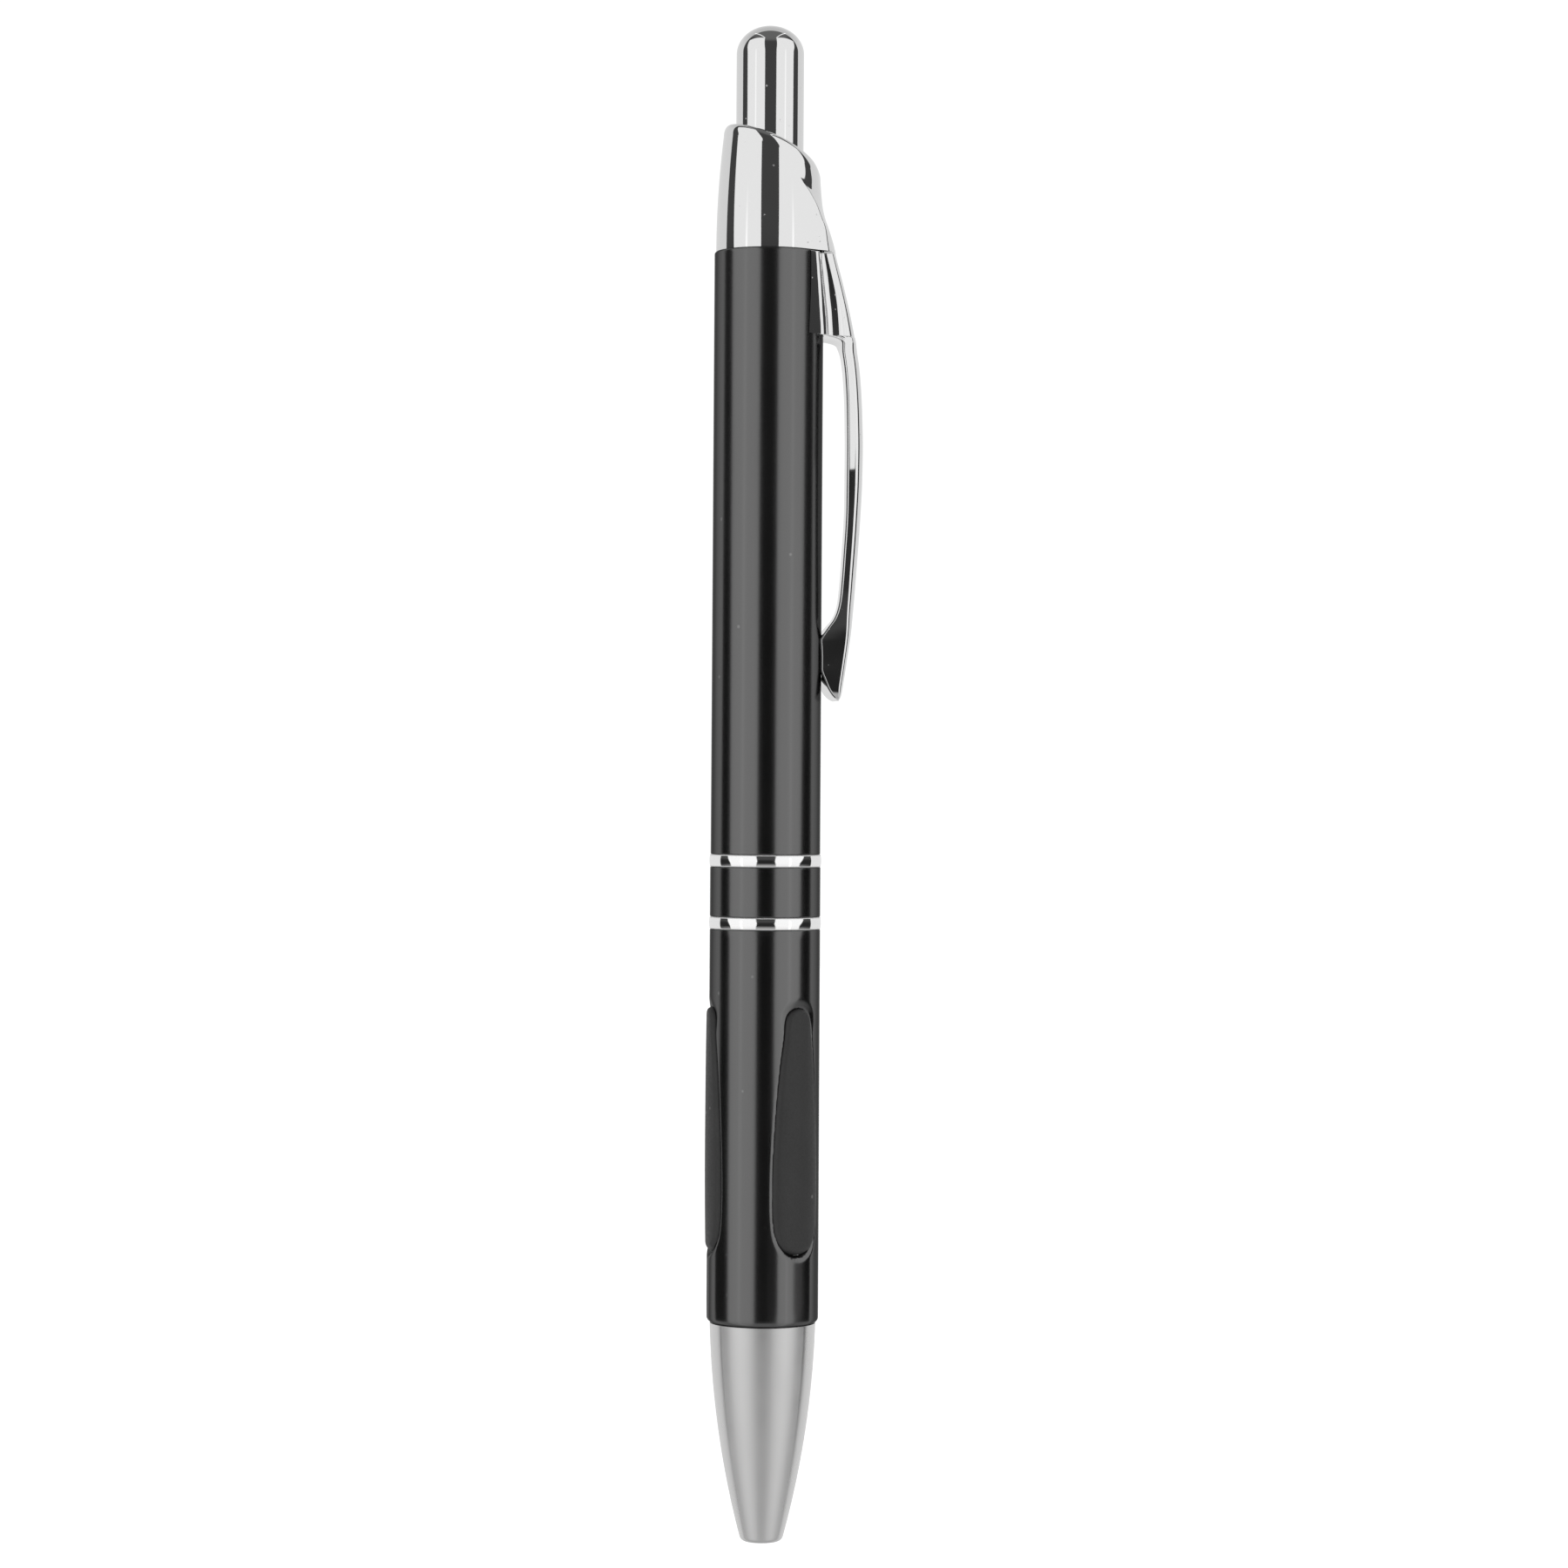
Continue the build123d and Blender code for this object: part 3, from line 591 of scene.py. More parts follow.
def outline_distance(x, z):
    """Distance of points to the teardrop, in mm on the unrolled barrel, negative inside it."""
    away = np.full(x.shape, np.inf)
    for ox, oz in grip_outline:
        away = np.minimum(away, (x - ox) ** 2 + (z - oz) ** 2)
    away = np.sqrt(away)
    crossings = np.zeros(x.shape, int)
    for (x0, z0), (x1, z1) in zip(grip_outline, np.roll(grip_outline, -1, 0)):
        spans = (z0 > z) != (z1 > z)
        with np.errstate(divide="ignore", invalid="ignore"):
            crossings += spans & (x < (x1 - x0) * (z - z0) / (z1 - z0) + x0)
    return np.where(crossings % 2 == 1, -away, away)


def barrel_surface(theta, z):
    """The lower barrel's outer radius, dished round the three windows and ridged below them."""
    straight_top_z = lower_bottom_z + straight_length
    share = np.clip((z - straight_top_z) / (lower_top_z - straight_top_z), 0, 1)
    radius = grip_end_radius + (joint_radius - grip_end_radius) * share
    for angle in grip_angles:
        turn_by = (theta - radians(angle) + pi) % (2 * pi) - pi
        near = np.abs(turn_by) < near_window
        x = np.where(near, grip_end_radius * np.sin(turn_by), far_away)
        gap = outline_distance(x, z)
        reach = np.interp(z, dish_heights, dish_reaches)
        depth = np.interp(z, dish_heights, dish_depths)
        dish = np.clip(1 - np.maximum(gap, 0) / reach, 0, 1)
        seat = np.clip(1 - np.maximum(gap, 0) / seat_reach, 0, 1)
        window = np.clip(-(gap + window_lip) / window_lip, 0, 1)
        fade = np.interp(z, ridge_heights, ridge_shares)
        fade = fade**2 * (3 - 2 * fade)
        ridge = np.where(np.abs(turn_by) < ridge_span, np.sin(pi * turn_by / ridge_span) ** 2, 0)
        pressed = depth * dish**2 * (3 - 2 * dish) + seat_drop * seat**2
        radius = radius + ridge_height * fade * ridge - pressed - window_depth * window
    return radius


barrel_columns = 300
window_margin = 2.0      # the rows lie close together this far past the windows
wall_rows = np.concatenate([
    np.linspace(lower_bottom_z + barrel_roll, grip_bottom_z - window_margin, 14, endpoint=False),
    np.linspace(grip_bottom_z - window_margin, grip_top_z + window_margin, 190, endpoint=False),
    np.linspace(grip_top_z + window_margin, lower_top_z - tube_edge, 8),
])
theta_row = np.linspace(0, 2 * pi, barrel_columns, endpoint=False)
theta_grid, z_grid = np.meshgrid(theta_row, wall_rows)
wall_radius = barrel_surface(theta_grid, z_grid)


def loop_mesh(name, rings, closed=True):
    """A tube of quads over rings of equal length, joined into a closed shell or capped at its ends."""
    count = len(rings[0])
    verts = [tuple(c * MM for c in point) for ring in rings for point in ring]
    faces = []
    last = len(rings) if closed else len(rings) - 1
    for i in range(last):
        low, high = i * count, ((i + 1) % len(rings)) * count
        for j in range(count):
            k = (j + 1) % count
            faces.append((low + j, low + k, high + k, high + j))
    if not closed:
        faces.append(tuple(reversed(range(count))))
        faces.append(tuple(range((len(rings) - 1) * count, len(rings) * count)))
    mesh = bpy.data.meshes.new(name)
    mesh.from_pydata(verts, [], faces)
    return mesh


def ring_at(radius, z):
    """One ring of points; radius is a number or one value for each column."""
    r = np.broadcast_to(radius, theta_row.shape)
    return [(r[i] * cos(t), r[i] * sin(t), z) for i, t in enumerate(theta_row)]


barrel_rings = [ring_at(tube_bore, lower_bottom_z)]
for step in range(7):
    angle = radians(90 * step / 6)
    roll_z = lower_bottom_z + barrel_roll * (1 - cos(angle))
    barrel_rings.append(ring_at(wall_radius[0] - barrel_roll * (1 - sin(angle)), roll_z))
barrel_rings += [ring_at(wall_radius[i], z) for i, z in enumerate(wall_rows)]
for step in range(5):
    angle = radians(90 * step / 4)
    edge_z = lower_top_z - tube_edge * (1 - sin(angle))
    barrel_rings.append(ring_at(wall_radius[-1] - tube_edge * (1 - cos(angle)), edge_z))
barrel_rings.append(ring_at(tube_bore, lower_top_z))
lower_mesh = loop_mesh("lower_barrel_shell", barrel_rings)
lower_mesh.materials.append(black_lacquer)
settle(lower_mesh, sharp_angle=50)
place_piece(lower_mesh, "lower_barrel_shell", "root", "lower_barrel")

# ---------------------------------------------------------------- grip pads
# Three pads moulded in black rubber, glued on the liner and pushed out through the windows. Each has a
# rounded edge, rolled over further at the toe, and a gently crowned matt face with a fine moulded grain.
grip_rubber, rubber, rubber_shader = new_finish("grip_rubber")
rubber_place = rubber.add("ShaderNodeTexCoord").outputs["Object"]
rubber_grain = rubber.add(
    "ShaderNodeTexNoise", None, Vector=rubber_place, Scale=5200.0, Detail=4.0, Roughness=0.6
)
rubber_cloud = rubber.add("ShaderNodeTexNoise", None, Vector=rubber_place, Scale=300.0, Detail=3.0)
rubber_dust = use_group(rubber, dust_group, Scale=1300.0, Amount=0.02)
rubber_base = rubber.add(
    "ShaderNodeMix", {"data_type": "RGBA"}, i0=rubber_cloud, i6=tone(0.034), i7=tone(0.044)
)
rubber_colour = rubber.add(
    "ShaderNodeMix", {"data_type": "RGBA"}, i0=rubber_dust, i6=rubber_base.outputs[2], i7=tone(0.16)
)
rubber_bump = rubber.add(
    "ShaderNodeBump", None, Strength=0.35, Distance=0.00004, Height=rubber_grain.outputs[0]
)
rubber.feed(rubber_shader.inputs["Base Color"], rubber_colour.outputs[2])
rubber.feed(rubber_shader.inputs["Roughness"], rubber.ramp(rubber_grain.outputs[0], 0.3, 0.7, 0.52, 0.66))
rubber.feed(rubber_shader.inputs["Normal"], rubber_bump)
rubber_shader.inputs["Specular IOR Level"].default_value = 0.45

pad_face_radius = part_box("grip_pad_3")[0].x / -MM
pad_foot_radius = 4.55
pad_edge = 0.42
toe_gap = 0.32           # the pad stops short of its window at the toe
toe_roll = 0.40          # the toe is rolled over more than the sides
middle_share = 0.02      # the innermost ring of the face, as a share of the rim
edge_steps = 6
face_rings = 10
pad_crown = 0.09


def pad_point(angle, x, z, radius):
    """A point of the pad at this distance from its own middle line, on a cylinder of this radius."""
    out = (radius**2 - x**2) ** 0.5
    c, s = cos(radians(angle)), sin(radians(angle))
    return (out * c - x * s, out * s + x * c, z)


for pad_number, angle in enumerate(grip_angles, start=1):
    toe_share = np.clip(grip_inward[:, 1], 0, 1) ** 2
    pad_outline = grip_outline + grip_inward * (toe_gap * toe_share)[:, None]
    layers = [(pad_outline, pad_foot_radius)]
    edge_size = pad_edge + toe_roll * toe_share
    for step in range(edge_steps + 1):
        turn_by = radians(90 * step / edge_steps)
        inset = pad_outline + grip_inward * (edge_size * (1 - cos(turn_by)))[:, None]
        layers.append((inset, pad_face_radius - pad_crown - edge_size * (1 - sin(turn_by))))
    rim = layers[-1][0]
    pad_middle = np.array([0, (grip_bottom_z + grip_top_z) / 2])
    for step in range(1, face_rings):
        share = 1 - step / face_rings
        layers.append((pad_middle + (rim - pad_middle) * share, pad_face_radius - pad_crown * share**2))
    layers.append((pad_middle + (rim - pad_middle) * middle_share, pad_face_radius))
    pad_rings = []
    for outline, radius in layers:
        radii = np.broadcast_to(radius, outline_count)
        pad_rings.append([pad_point(angle, x, z, r) for (x, z), r in zip(outline, radii)])
    pad_mesh = loop_mesh(f"grip_pad_{pad_number}_rubber", pad_rings, closed=False)
    pad_mesh.materials.append(grip_rubber)
    settle(pad_mesh, sharp_angle=60)
    place_piece(pad_mesh, f"grip_pad_{pad_number}_rubber", "root", f"grip_pad_{pad_number}")

# ---------------------------------------------------------------- nose cone
# Turned brass with a satin chrome plate: a long even taper, a rounded lip round the writing hole, the step
# of its spigot inside the barrel, and inside it the pocket that holds the return spring.
satin_chrome, satin, satin_shader = new_finish("satin_chrome")
satin_place = satin.add("ShaderNodeTexCoord").outputs["Object"]
satin_grain = satin.add("ShaderNodeTexNoise", None, Vector=satin_place, Scale=9000.0, Detail=3.0)
satin_cloud = satin.add("ShaderNodeTexNoise", None, Vector=satin_place, Scale=220.0, Detail=4.0)
satin_tone = satin.add(
    "ShaderNodeMix", {"data_type": "RGBA"}, i0=satin_cloud, i6=tone(0.66, 0.004), i7=tone(0.72, 0.004)
)
satin_bump = satin.add(
    "ShaderNodeBump", None, Strength=0.12, Distance=0.00002, Height=satin_grain.outputs[0]
)
satin.feed(satin_shader.inputs["Base Color"], satin_tone.outputs[2])
satin_rough = satin.ramp(satin_cloud.outputs[0], 0.3, 0.7, 0.42, 0.48)
satin_facing = satin.add("ShaderNodeLayerWeight", None, Blend=0.5).outputs["Facing"]
satin_sharper = satin.ramp(satin_facing, 0.375, 0.395, 1.0, 0.62)
satin.feed(satin_shader.inputs["Roughness"], satin.math("MULTIPLY", satin_rough, satin_sharper))
satin.feed(satin_shader.inputs["Normal"], satin_bump)
satin_shader.inputs["Metallic"].default_value = 1.0
satin_shader.inputs["Coat Weight"].default_value = 0.45
satin_shader.inputs["Coat Roughness"].default_value = 0.04


def arc_through(first, middle, last, count):
    """Points along the circle through three (radius, height) points."""
    (x1, y1), (x2, y2), (x3, y3) = first, middle, last
    a = np.array([[2 * (x2 - x1), 2 * (y2 - y1)], [2 * (x3 - x1), 2 * (y3 - y1)]])
    b = np.array([x2**2 - x1**2 + y2**2 - y1**2, x3**2 - x1**2 + y3**2 - y1**2])
    cx, cy = np.linalg.solve(a, b)
    radius = ((x1 - cx) ** 2 + (y1 - cy) ** 2) ** 0.5
    t1, t3 = atan2(y1 - cy, x1 - cx), atan2(y3 - cy, x3 - cx)
    return [(cx + radius * cos(t), cy + radius * sin(t)) for t in np.linspace(t1, t3, count)]


nose_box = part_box("nose_cone")
nose_spigot_top_z = nose_box[1].z / MM
nose_seam_z = lower_bottom_z
nose_seam_radius = nose_box[1].y / MM
nose_flank = arc_through((1.90, 0), (4.07, 10.5), (nose_seam_radius, nose_seam_z), 48)
spring_pocket_radius = 2.45
spring_seat_z = 8.0
nose_outline = eased([
    (*nose_flank[0], 0.62),
    *[(r, z, 0) for r, z in nose_flank[3:-1]],
    (nose_seam_radius, nose_seam_z - 0.02, 0.06),
    (tube_bore, nose_seam_z, 0),
    (tube_bore, nose_spigot_top_z, 0.2),
    (spring_pocket_radius, nose_spigot_top_z, 0.1),
    (spring_pocket_radius, spring_seat_z, 0),
    (1.40, spring_seat_z, 0),
    (1.40, 2.4, 0),
    (1.22, 2.2, 0),
    (1.22, 0, 0.07),
], steps=8)
turn_piece("nose_cone_shell", nose_outline, "root", satin_chrome, "nose_cone")

# ---------------------------------------------------------------- clip collar
# Brass, die formed and chromed bright. The round collar is cut off on a slant; towards the clip it swells
# into a hood whose narrow back carries the line of the clip upward and fades out below the rim, with a flat
# flank on each side and a shallow valley where the crease between them dies away.
chrome, plate, chrome_shader = new_finish("chrome")
plate_marks = use_group(plate, handling_group, Low=0.035, High=0.060)
plate_dust = use_group(plate, dust_group, Scale=2400.0, Amount=0.05)
plate_colour = plate.add(
    "ShaderNodeMix", {"data_type": "RGBA"}, i0=plate_dust, i6=tone(0.77), i7=tone(0.84)
)
plate_rough = plate.math("MULTIPLY_ADD", plate_dust, 0.35, plate_marks.outputs["Roughness"])
plate_bump = plate.add(
    "ShaderNodeBump", None, Strength=0.01, Distance=0.00001, Height=plate_marks.outputs["Height"]
)
plate.feed(chrome_shader.inputs["Base Color"], plate_colour.outputs[2])
plate.feed(chrome_shader.inputs["Roughness"], plate_rough)
plate.feed(chrome_shader.inputs["Normal"], plate_bump)
chrome_shader.inputs["Metallic"].default_value = 1.0


def smooth_through(points):
    """A function that runs smoothly through (position, value) points without overshooting."""
    xs = np.array([p[0] for p in points], float)
    ys = np.array([p[1] for p in points], float)
    h = np.diff(xs)
    slope = np.diff(ys) / h
    tangent = np.zeros(len(xs))
    tangent[0], tangent[-1] = slope[0], slope[-1]
    for i in range(1, len(xs) - 1):
        if slope[i - 1] * slope[i] > 0:
            w0, w1 = 2 * h[i] + h[i - 1], h[i] + 2 * h[i - 1]
            tangent[i] = (w0 + w1) / (w0 / slope[i - 1] + w1 / slope[i])

    def value(x):
        x = min(max(x, xs[0]), xs[-1])
        i = min(int(np.searchsorted(xs, x, "right")) - 1, len(xs) - 2)
        t = (x - xs[i]) / h[i]
        s = 1 - t
        ends = ys[i] * s * s * (1 + 2 * t) + ys[i + 1] * t * t * (1 + 2 * s)
        return float(ends + h[i] * t * s * (tangent[i] * s - tangent[i + 1] * t))

    return value


collar_base_radius = 4.90
collar_taper_radius = 90.0      # the side is an arc that starts square to the seam
hood_back = smooth_through([
    (119.0, 6.23), (119.8, 6.02), (120.6, 5.76), (121.4, 5.46), (122.2, 5.17), (123.2, 4.94),
    (124.6, 4.81), (126.4, 4.69), (132.0, 4.20),
])
crease_across = smooth_through([
    (119.0, 5.55), (119.8, 5.42), (121.1, 5.22), (122.2, 4.78), (123.2, 4.38), (123.9, 3.97),
    (124.6, 3.52), (125.4, 2.85), (126.2, 2.35), (127.4, 1.80), (132.0, 1.2),
])
flank_facing = radians(60)      # the flat flank beside the hood faces this far round from the clip
shortest_flank = 0.3            # a shorter one is lost in the round side
least_flank_turn = radians(8)
valley_scale = 6.75             # makes the deepest place of run * (1 - run) ** 2 equal to 1
crease_fade = 0.002
rim_slope = 0.437
rim_arch = 0.4
rim_middle_z = 129.40
rim_reach = 4.35
valley_depth = smooth_through([
    (119.0, 0.0), (123.6, 0.0), (124.8, 0.012), (125.6, 0.052), (126.3, 0.040), (127.4, 0.0), (132.0, 0.0),
])
valley_width = smooth_through([
    (119.0, 0.6), (123.8, 0.8), (124.8, 1.2), (125.6, 2.0), (126.3, 2.2), (132.0, 2.2),
])
face_columns = 40
flank_columns = 26
round_columns = 70


def collar_radius(z):
    """The round side of the collar at this height."""
    return collar_base_radius - (z - collar_seam_z) ** 2 / (2 * collar_taper_radius)


def crease(z):
    """The hood's crease and where its flank runs into the round side, both at this height."""
    r, across = collar_radius(z), crease_across(z)
    lean = pi / 2 - flank_facing - view_turn
    run = (across - r * sin(lean)) / cos(lean)
    on_flank = run > shortest_flank
    toward = r * cos(lean) - run * sin(lean) if on_flank else (r**2 - across**2) ** 0.5
    x = across * cos(view_turn) + toward * sin(view_turn)
    y = toward * cos(view_turn) - across * sin(view_turn)
    least_far = atan2(y, x) + least_flank_turn
    return Vector((x, y)), max(flank_facing, least_far) if on_flank else least_far


def collar_point(column, z):
    """Half of the collar's section, from the middle of the hood (column 0) round to the far side."""
    r = collar_radius(z)
    edge, a_far = crease(z)
    a_crease, r_crease = atan2(edge.y, edge.x), edge.length
    if column <= face_columns:
        part = column / face_columns
        y = edge.y * part
        back = max(hood_back(z), r)
        crown = back - (back - edge.x) * part**2
        angle = atan2(y, crown)
        radius = max((crown**2 + y**2) ** 0.5, r)
        run = (a_crease - angle) * r_crease / valley_width(z)
        if 0 < run < 1:
            radius -= valley_depth(z) * valley_scale * run * (1 - run) ** 2
        return Vector((radius * cos(angle), radius * sin(angle)))
    if column <= face_columns + flank_columns:
        t = (column - face_columns) / flank_columns
        far = Vector((r * cos(a_far), r * sin(a_far)))
        if r_crease < r + crease_fade:
            angle = a_crease + (a_far - a_crease) * t
            return Vector((r * cos(angle), r * sin(angle)))
        return edge.lerp(far, t)
    t = (column - face_columns - flank_columns) / round_columns
    angle = a_far + (pi - a_far) * t
    return Vector((r * cos(angle), r * sin(angle)))


def rim_height(x):
    """Height of the slanted, slightly arched rim above this place on the clip's axis."""
    return rim_middle_z - rim_slope * x - rim_arch * (x / rim_reach) ** 2


rim_corner = 1.15
rim_inset = 0.64
rim_inner_corner = 0.15
button_hole_radius = 3.20
guide_top_z = 124.9
guide_seat_radius = 4.00
skirt_bottom_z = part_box("clip_collar")[0].z / MM
wall_steps = 110
rim_passes = 6           # the rim's height and the side's radius depend on each other
inside_profile = [
    (button_hole_radius, guide_top_z),
    (guide_seat_radius, guide_top_z),
    (guide_seat_radius, skirt_bottom_z),
    (tube_bore, skirt_bottom_z),
    (tube_bore, collar_seam_z),
]
half_columns = face_columns + flank_columns + round_columns
collar_columns = []
for column in range(half_columns + 1):
    top_z = rim_middle_z
    for _ in range(rim_passes):
        top_z = rim_height(collar_point(column, top_z).x) - rim_corner
    line = []
    for step in range(wall_steps + 1):
        z = collar_seam_z + (top_z - collar_seam_z) * step / wall_steps
        p = collar_point(column, z)
        line.append((p.x, p.y, z))
    edge = collar_point(column, top_z)
    outward = edge.normalized()
    for step in range(1, 11):
        angle = radians(9 * step)
        p = edge - outward * rim_inset * (1 - cos(angle))
        line.append((p.x, p.y, top_z + (rim_height(p.x) - top_z) * sin(angle)))
    for step in range(7):
        angle = radians(15 * step)
        p = outward * (button_hole_radius + rim_inner_corner * (1 - sin(angle)))
        line.append((p.x, p.y, rim_height(p.x) - rim_inner_corner * (1 - cos(angle))))
    line += [(outward.x * radius, outward.y * radius, z) for radius, z in inside_profile]
    collar_columns.append(line)
mirrored = [[(x, -y, z) for x, y, z in line] for line in reversed(collar_columns[1:-1])]
all_columns = collar_columns + mirrored
collar_mesh = loop_mesh("clip_collar_shell", all_columns)
collar_mesh.materials.append(chrome)
settle(collar_mesh, sharp_angle=40)
place_piece(collar_mesh, "clip_collar_shell", "root", "clip_collar")

# ---------------------------------------------------------------- pocket clip
# Spring brass, pressed and chromed like the collar. Its foot wraps the barrel below the hood, a fluted web
# carries the crowned strap out from it, and the strap bows down to a smooth bump that grips the cloth. The
# tables below run upwards and give a distance in mm, or for the lean and the twist degrees, at each height.
clip_top_z = 118.95
clip_tip_z = 77.66
tip_length = 1.5
bump_top_z = 86.5
clip_back = smooth_through([
    (77.66, 6.50), (77.75, 6.62), (78.1, 6.80), (79.6, 7.09), (82.0, 7.46), (84.4, 7.86), (86.0, 8.04),
    (90.05, 8.36), (94.1, 8.64), (98.1, 8.83), (101.0, 8.87), (103.5, 8.82), (106.1, 8.70), (108.5, 8.49),
    (110.1, 8.24), (111.75, 7.93), (114.2, 7.38), (116.6, 6.77), (118.2, 6.32), (119.0, 6.10),
])
clip_inside = smooth_through([
    (77.66, 6.45), (77.8, 6.22), (78.15, 5.84), (78.8, 5.42), (79.6, 5.08), (80.4, 4.76), (81.2, 4.62),
    (82.2, 4.56), (83.2, 4.68), (83.6, 4.93), (84.4, 5.54), (85.3, 6.22), (86.0, 6.52), (86.9, 6.72),
    (88.6, 6.90), (90.9, 7.06), (95.7, 7.31), (100.5, 7.34), (104.5, 7.29), (107.7, 7.12), (110.1, 6.78),
    (112.0, 6.30),
])
clip_half_width = smooth_through([
    (77.66, 1.35), (77.72, 1.60), (77.85, 1.85), (78.0, 2.02), (78.2, 2.12), (78.6, 2.18), (80.0, 2.22),
    (84.0, 2.24), (88.0, 2.12), (112.0, 2.15), (119.0, 2.20),
])
cheek_lean = smooth_through([
    (77.0, 3.0), (81.0, 3.0), (86.0, 0.0), (95.0, 0.0), (100.5, -7.0), (104.0, -10.0), (112.0, -10.0),
])
strap_twist = smooth_through([
    (77.0, 0.0), (81.5, 0.0), (86.5, 7.6), (109.6, 7.6), (111.5, 0.0), (119.0, 0.0),
])
crown_depth = smooth_through([
    (77.66, 0.16), (78.0, 0.42), (79.0, 0.62), (84.0, 0.66), (90.0, 0.74), (112.0, 0.84), (119.0, 0.80),
])
barrel_gap = 0.025
foot_bottom_z = 111.35
foot_inner_radius = 5.085
arch_height = 0.70
inner_columns = 14
side_columns = 40
crown_columns = 26
crown_fullness = 0.86    # under 1, so the crown stays a little fuller than an ellipse
strap_corner = 0.24
least_cheek = 0.12
back_allowance = 0.05    # the strap's back stands this much further out than clip_back says
foot_allowance = 0.05    # and the foot is this much wider on each side than the strap
corner_of_cheek = 0.45
corner_of_width = 0.4
narrowing = 3.0          # the clip's top edge narrows by its inset over this width in mm
slope_steps = 6
top_edge_size = 0.12
foot_edge = smooth_through([(111.3, 3.72), (113.4, 3.80), (115.0, 3.86), (116.6, 3.89), (119.0, 3.87)])
flute_start = smooth_through([
    (111.3, 4.86), (112.15, 4.82), (113.4, 4.73), (115.0, 4.62), (116.6, 4.50), (118.8, 4.33),
])
flute_end = smooth_through([
    (111.3, 5.00), (112.15, 4.96), (113.4, 4.87), (115.0, 4.78), (116.6, 4.66), (118.8, 4.45),
])
web_start = smooth_through([
    (111.3, 5.50), (112.15, 5.45), (113.4, 5.36), (115.0, 5.18), (116.6, 5.00), (118.8, 4.75),
])
web_flat = smooth_through([
    (111.3, 5.92), (112.15, 5.87), (113.4, 5.79), (115.0, 5.60), (116.6, 5.44), (118.8, 5.09),
])
crown_start = smooth_through([
    (111.3, 6.48), (112.15, 6.44), (113.4, 6.35), (115.0, 6.17), (116.6, 5.84), (118.8, 5.28),
])
crown_turn = smooth_through([
    (111.3, 7.15), (112.15, 7.05), (113.4, 6.88), (115.0, 6.57), (116.6, 6.16), (118.8, 5.66),
])


def resample(points, count):
    """Evenly spaced points along a polyline, ends kept."""
    path = np.array(points, float)
    run = np.concatenate([[0], np.cumsum(np.linalg.norm(np.diff(path, axis=0), axis=1))])
    stops = np.linspace(0, run[-1], count)
    return [Vector((np.interp(t, run, path[:, 0]), np.interp(t, run, path[:, 1]))) for t in stops]


def crown_arc(start, back):
    """From the cheek's top edge over to the middle of the back, ending square to it."""
    points = []
    for k in range(1, crown_columns + 1):
        a = radians(90 * k / crown_columns)
        points.append(Vector((start.x + (back - start.x) * sin(a), start.y * cos(a) ** crown_fullness)))
    return points


def barrel_clearance(y):
    """The nearest that the clip's inner face may come at this distance from its middle."""
    return max(0.0, (barrel_radius + barrel_gap) ** 2 - y**2) ** 0.5


def strap_half(z):
    """The free strap's section: an inner face that clears the barrel, a flat cheek, a crowned back."""
    back, edge_x, w = clip_back(z) + back_allowance, clip_inside(z), clip_half_width(z)
    shoulder = max(back - crown_depth(z), edge_x + least_cheek)
    w_in = w - tan(radians(cheek_lean(z))) * (shoulder - edge_x)
    corner = min(strap_corner, (shoulder - edge_x) * corner_of_cheek, w_in * corner_of_width)
    flat = w_in - corner
    edge_x = max(edge_x, barrel_clearance(flat))
    inner = [flat * k / inner_columns for k in range(inner_columns)]
    inner = [Vector((max(edge_x, barrel_clearance(y)), y)) for y in inner]
    turns = [radians(9 * k) for k in range(11)]
    cheek = [(edge_x + corner * (1 - cos(a)), flat + corner * sin(a)) for a in turns]
    cheek = resample([*cheek, (shoulder, w)], side_columns + 1)
    for p in cheek:
        p.x = max(p.x, barrel_clearance(p.y))
    return inner + cheek + crown_arc(cheek[-1], back)


def twisted(half, z):
    """Both halves of a strap section, turned a little about the strap's own length."""
    turn_by = -radians(strap_twist(z))
    middle = (clip_back(z) + clip_inside(z)) / 2
    c, s = cos(turn_by), sin(turn_by)
    turned_points = []
    for p in both_halves(half):
        x = p.x - middle
        turned_points.append(Vector((middle + x * c - p.y * s, x * s + p.y * c)))
    return turned_points


def follow_slopes(stops, depth):
    """Points of a surface that turns evenly from each (place, slope in degrees) to the next."""
    points = []
    for (r0, s0), (r1, s1) in zip(stops, stops[1:]):
        for k in range(1, slope_steps + 1):
            slope = s0 + (s1 - s0) * (k - 0.5) / slope_steps
            depth -= tan(radians(slope)) * (r1 - r0) / slope_steps
            points.append((r0 + (r1 - r0) * k / slope_steps, depth))
    return points


def both_halves(half):
    """A half section with its mirror image, going once round."""
    return half + [Vector((p.x, -p.y)) for p in reversed(half[1:-1])]


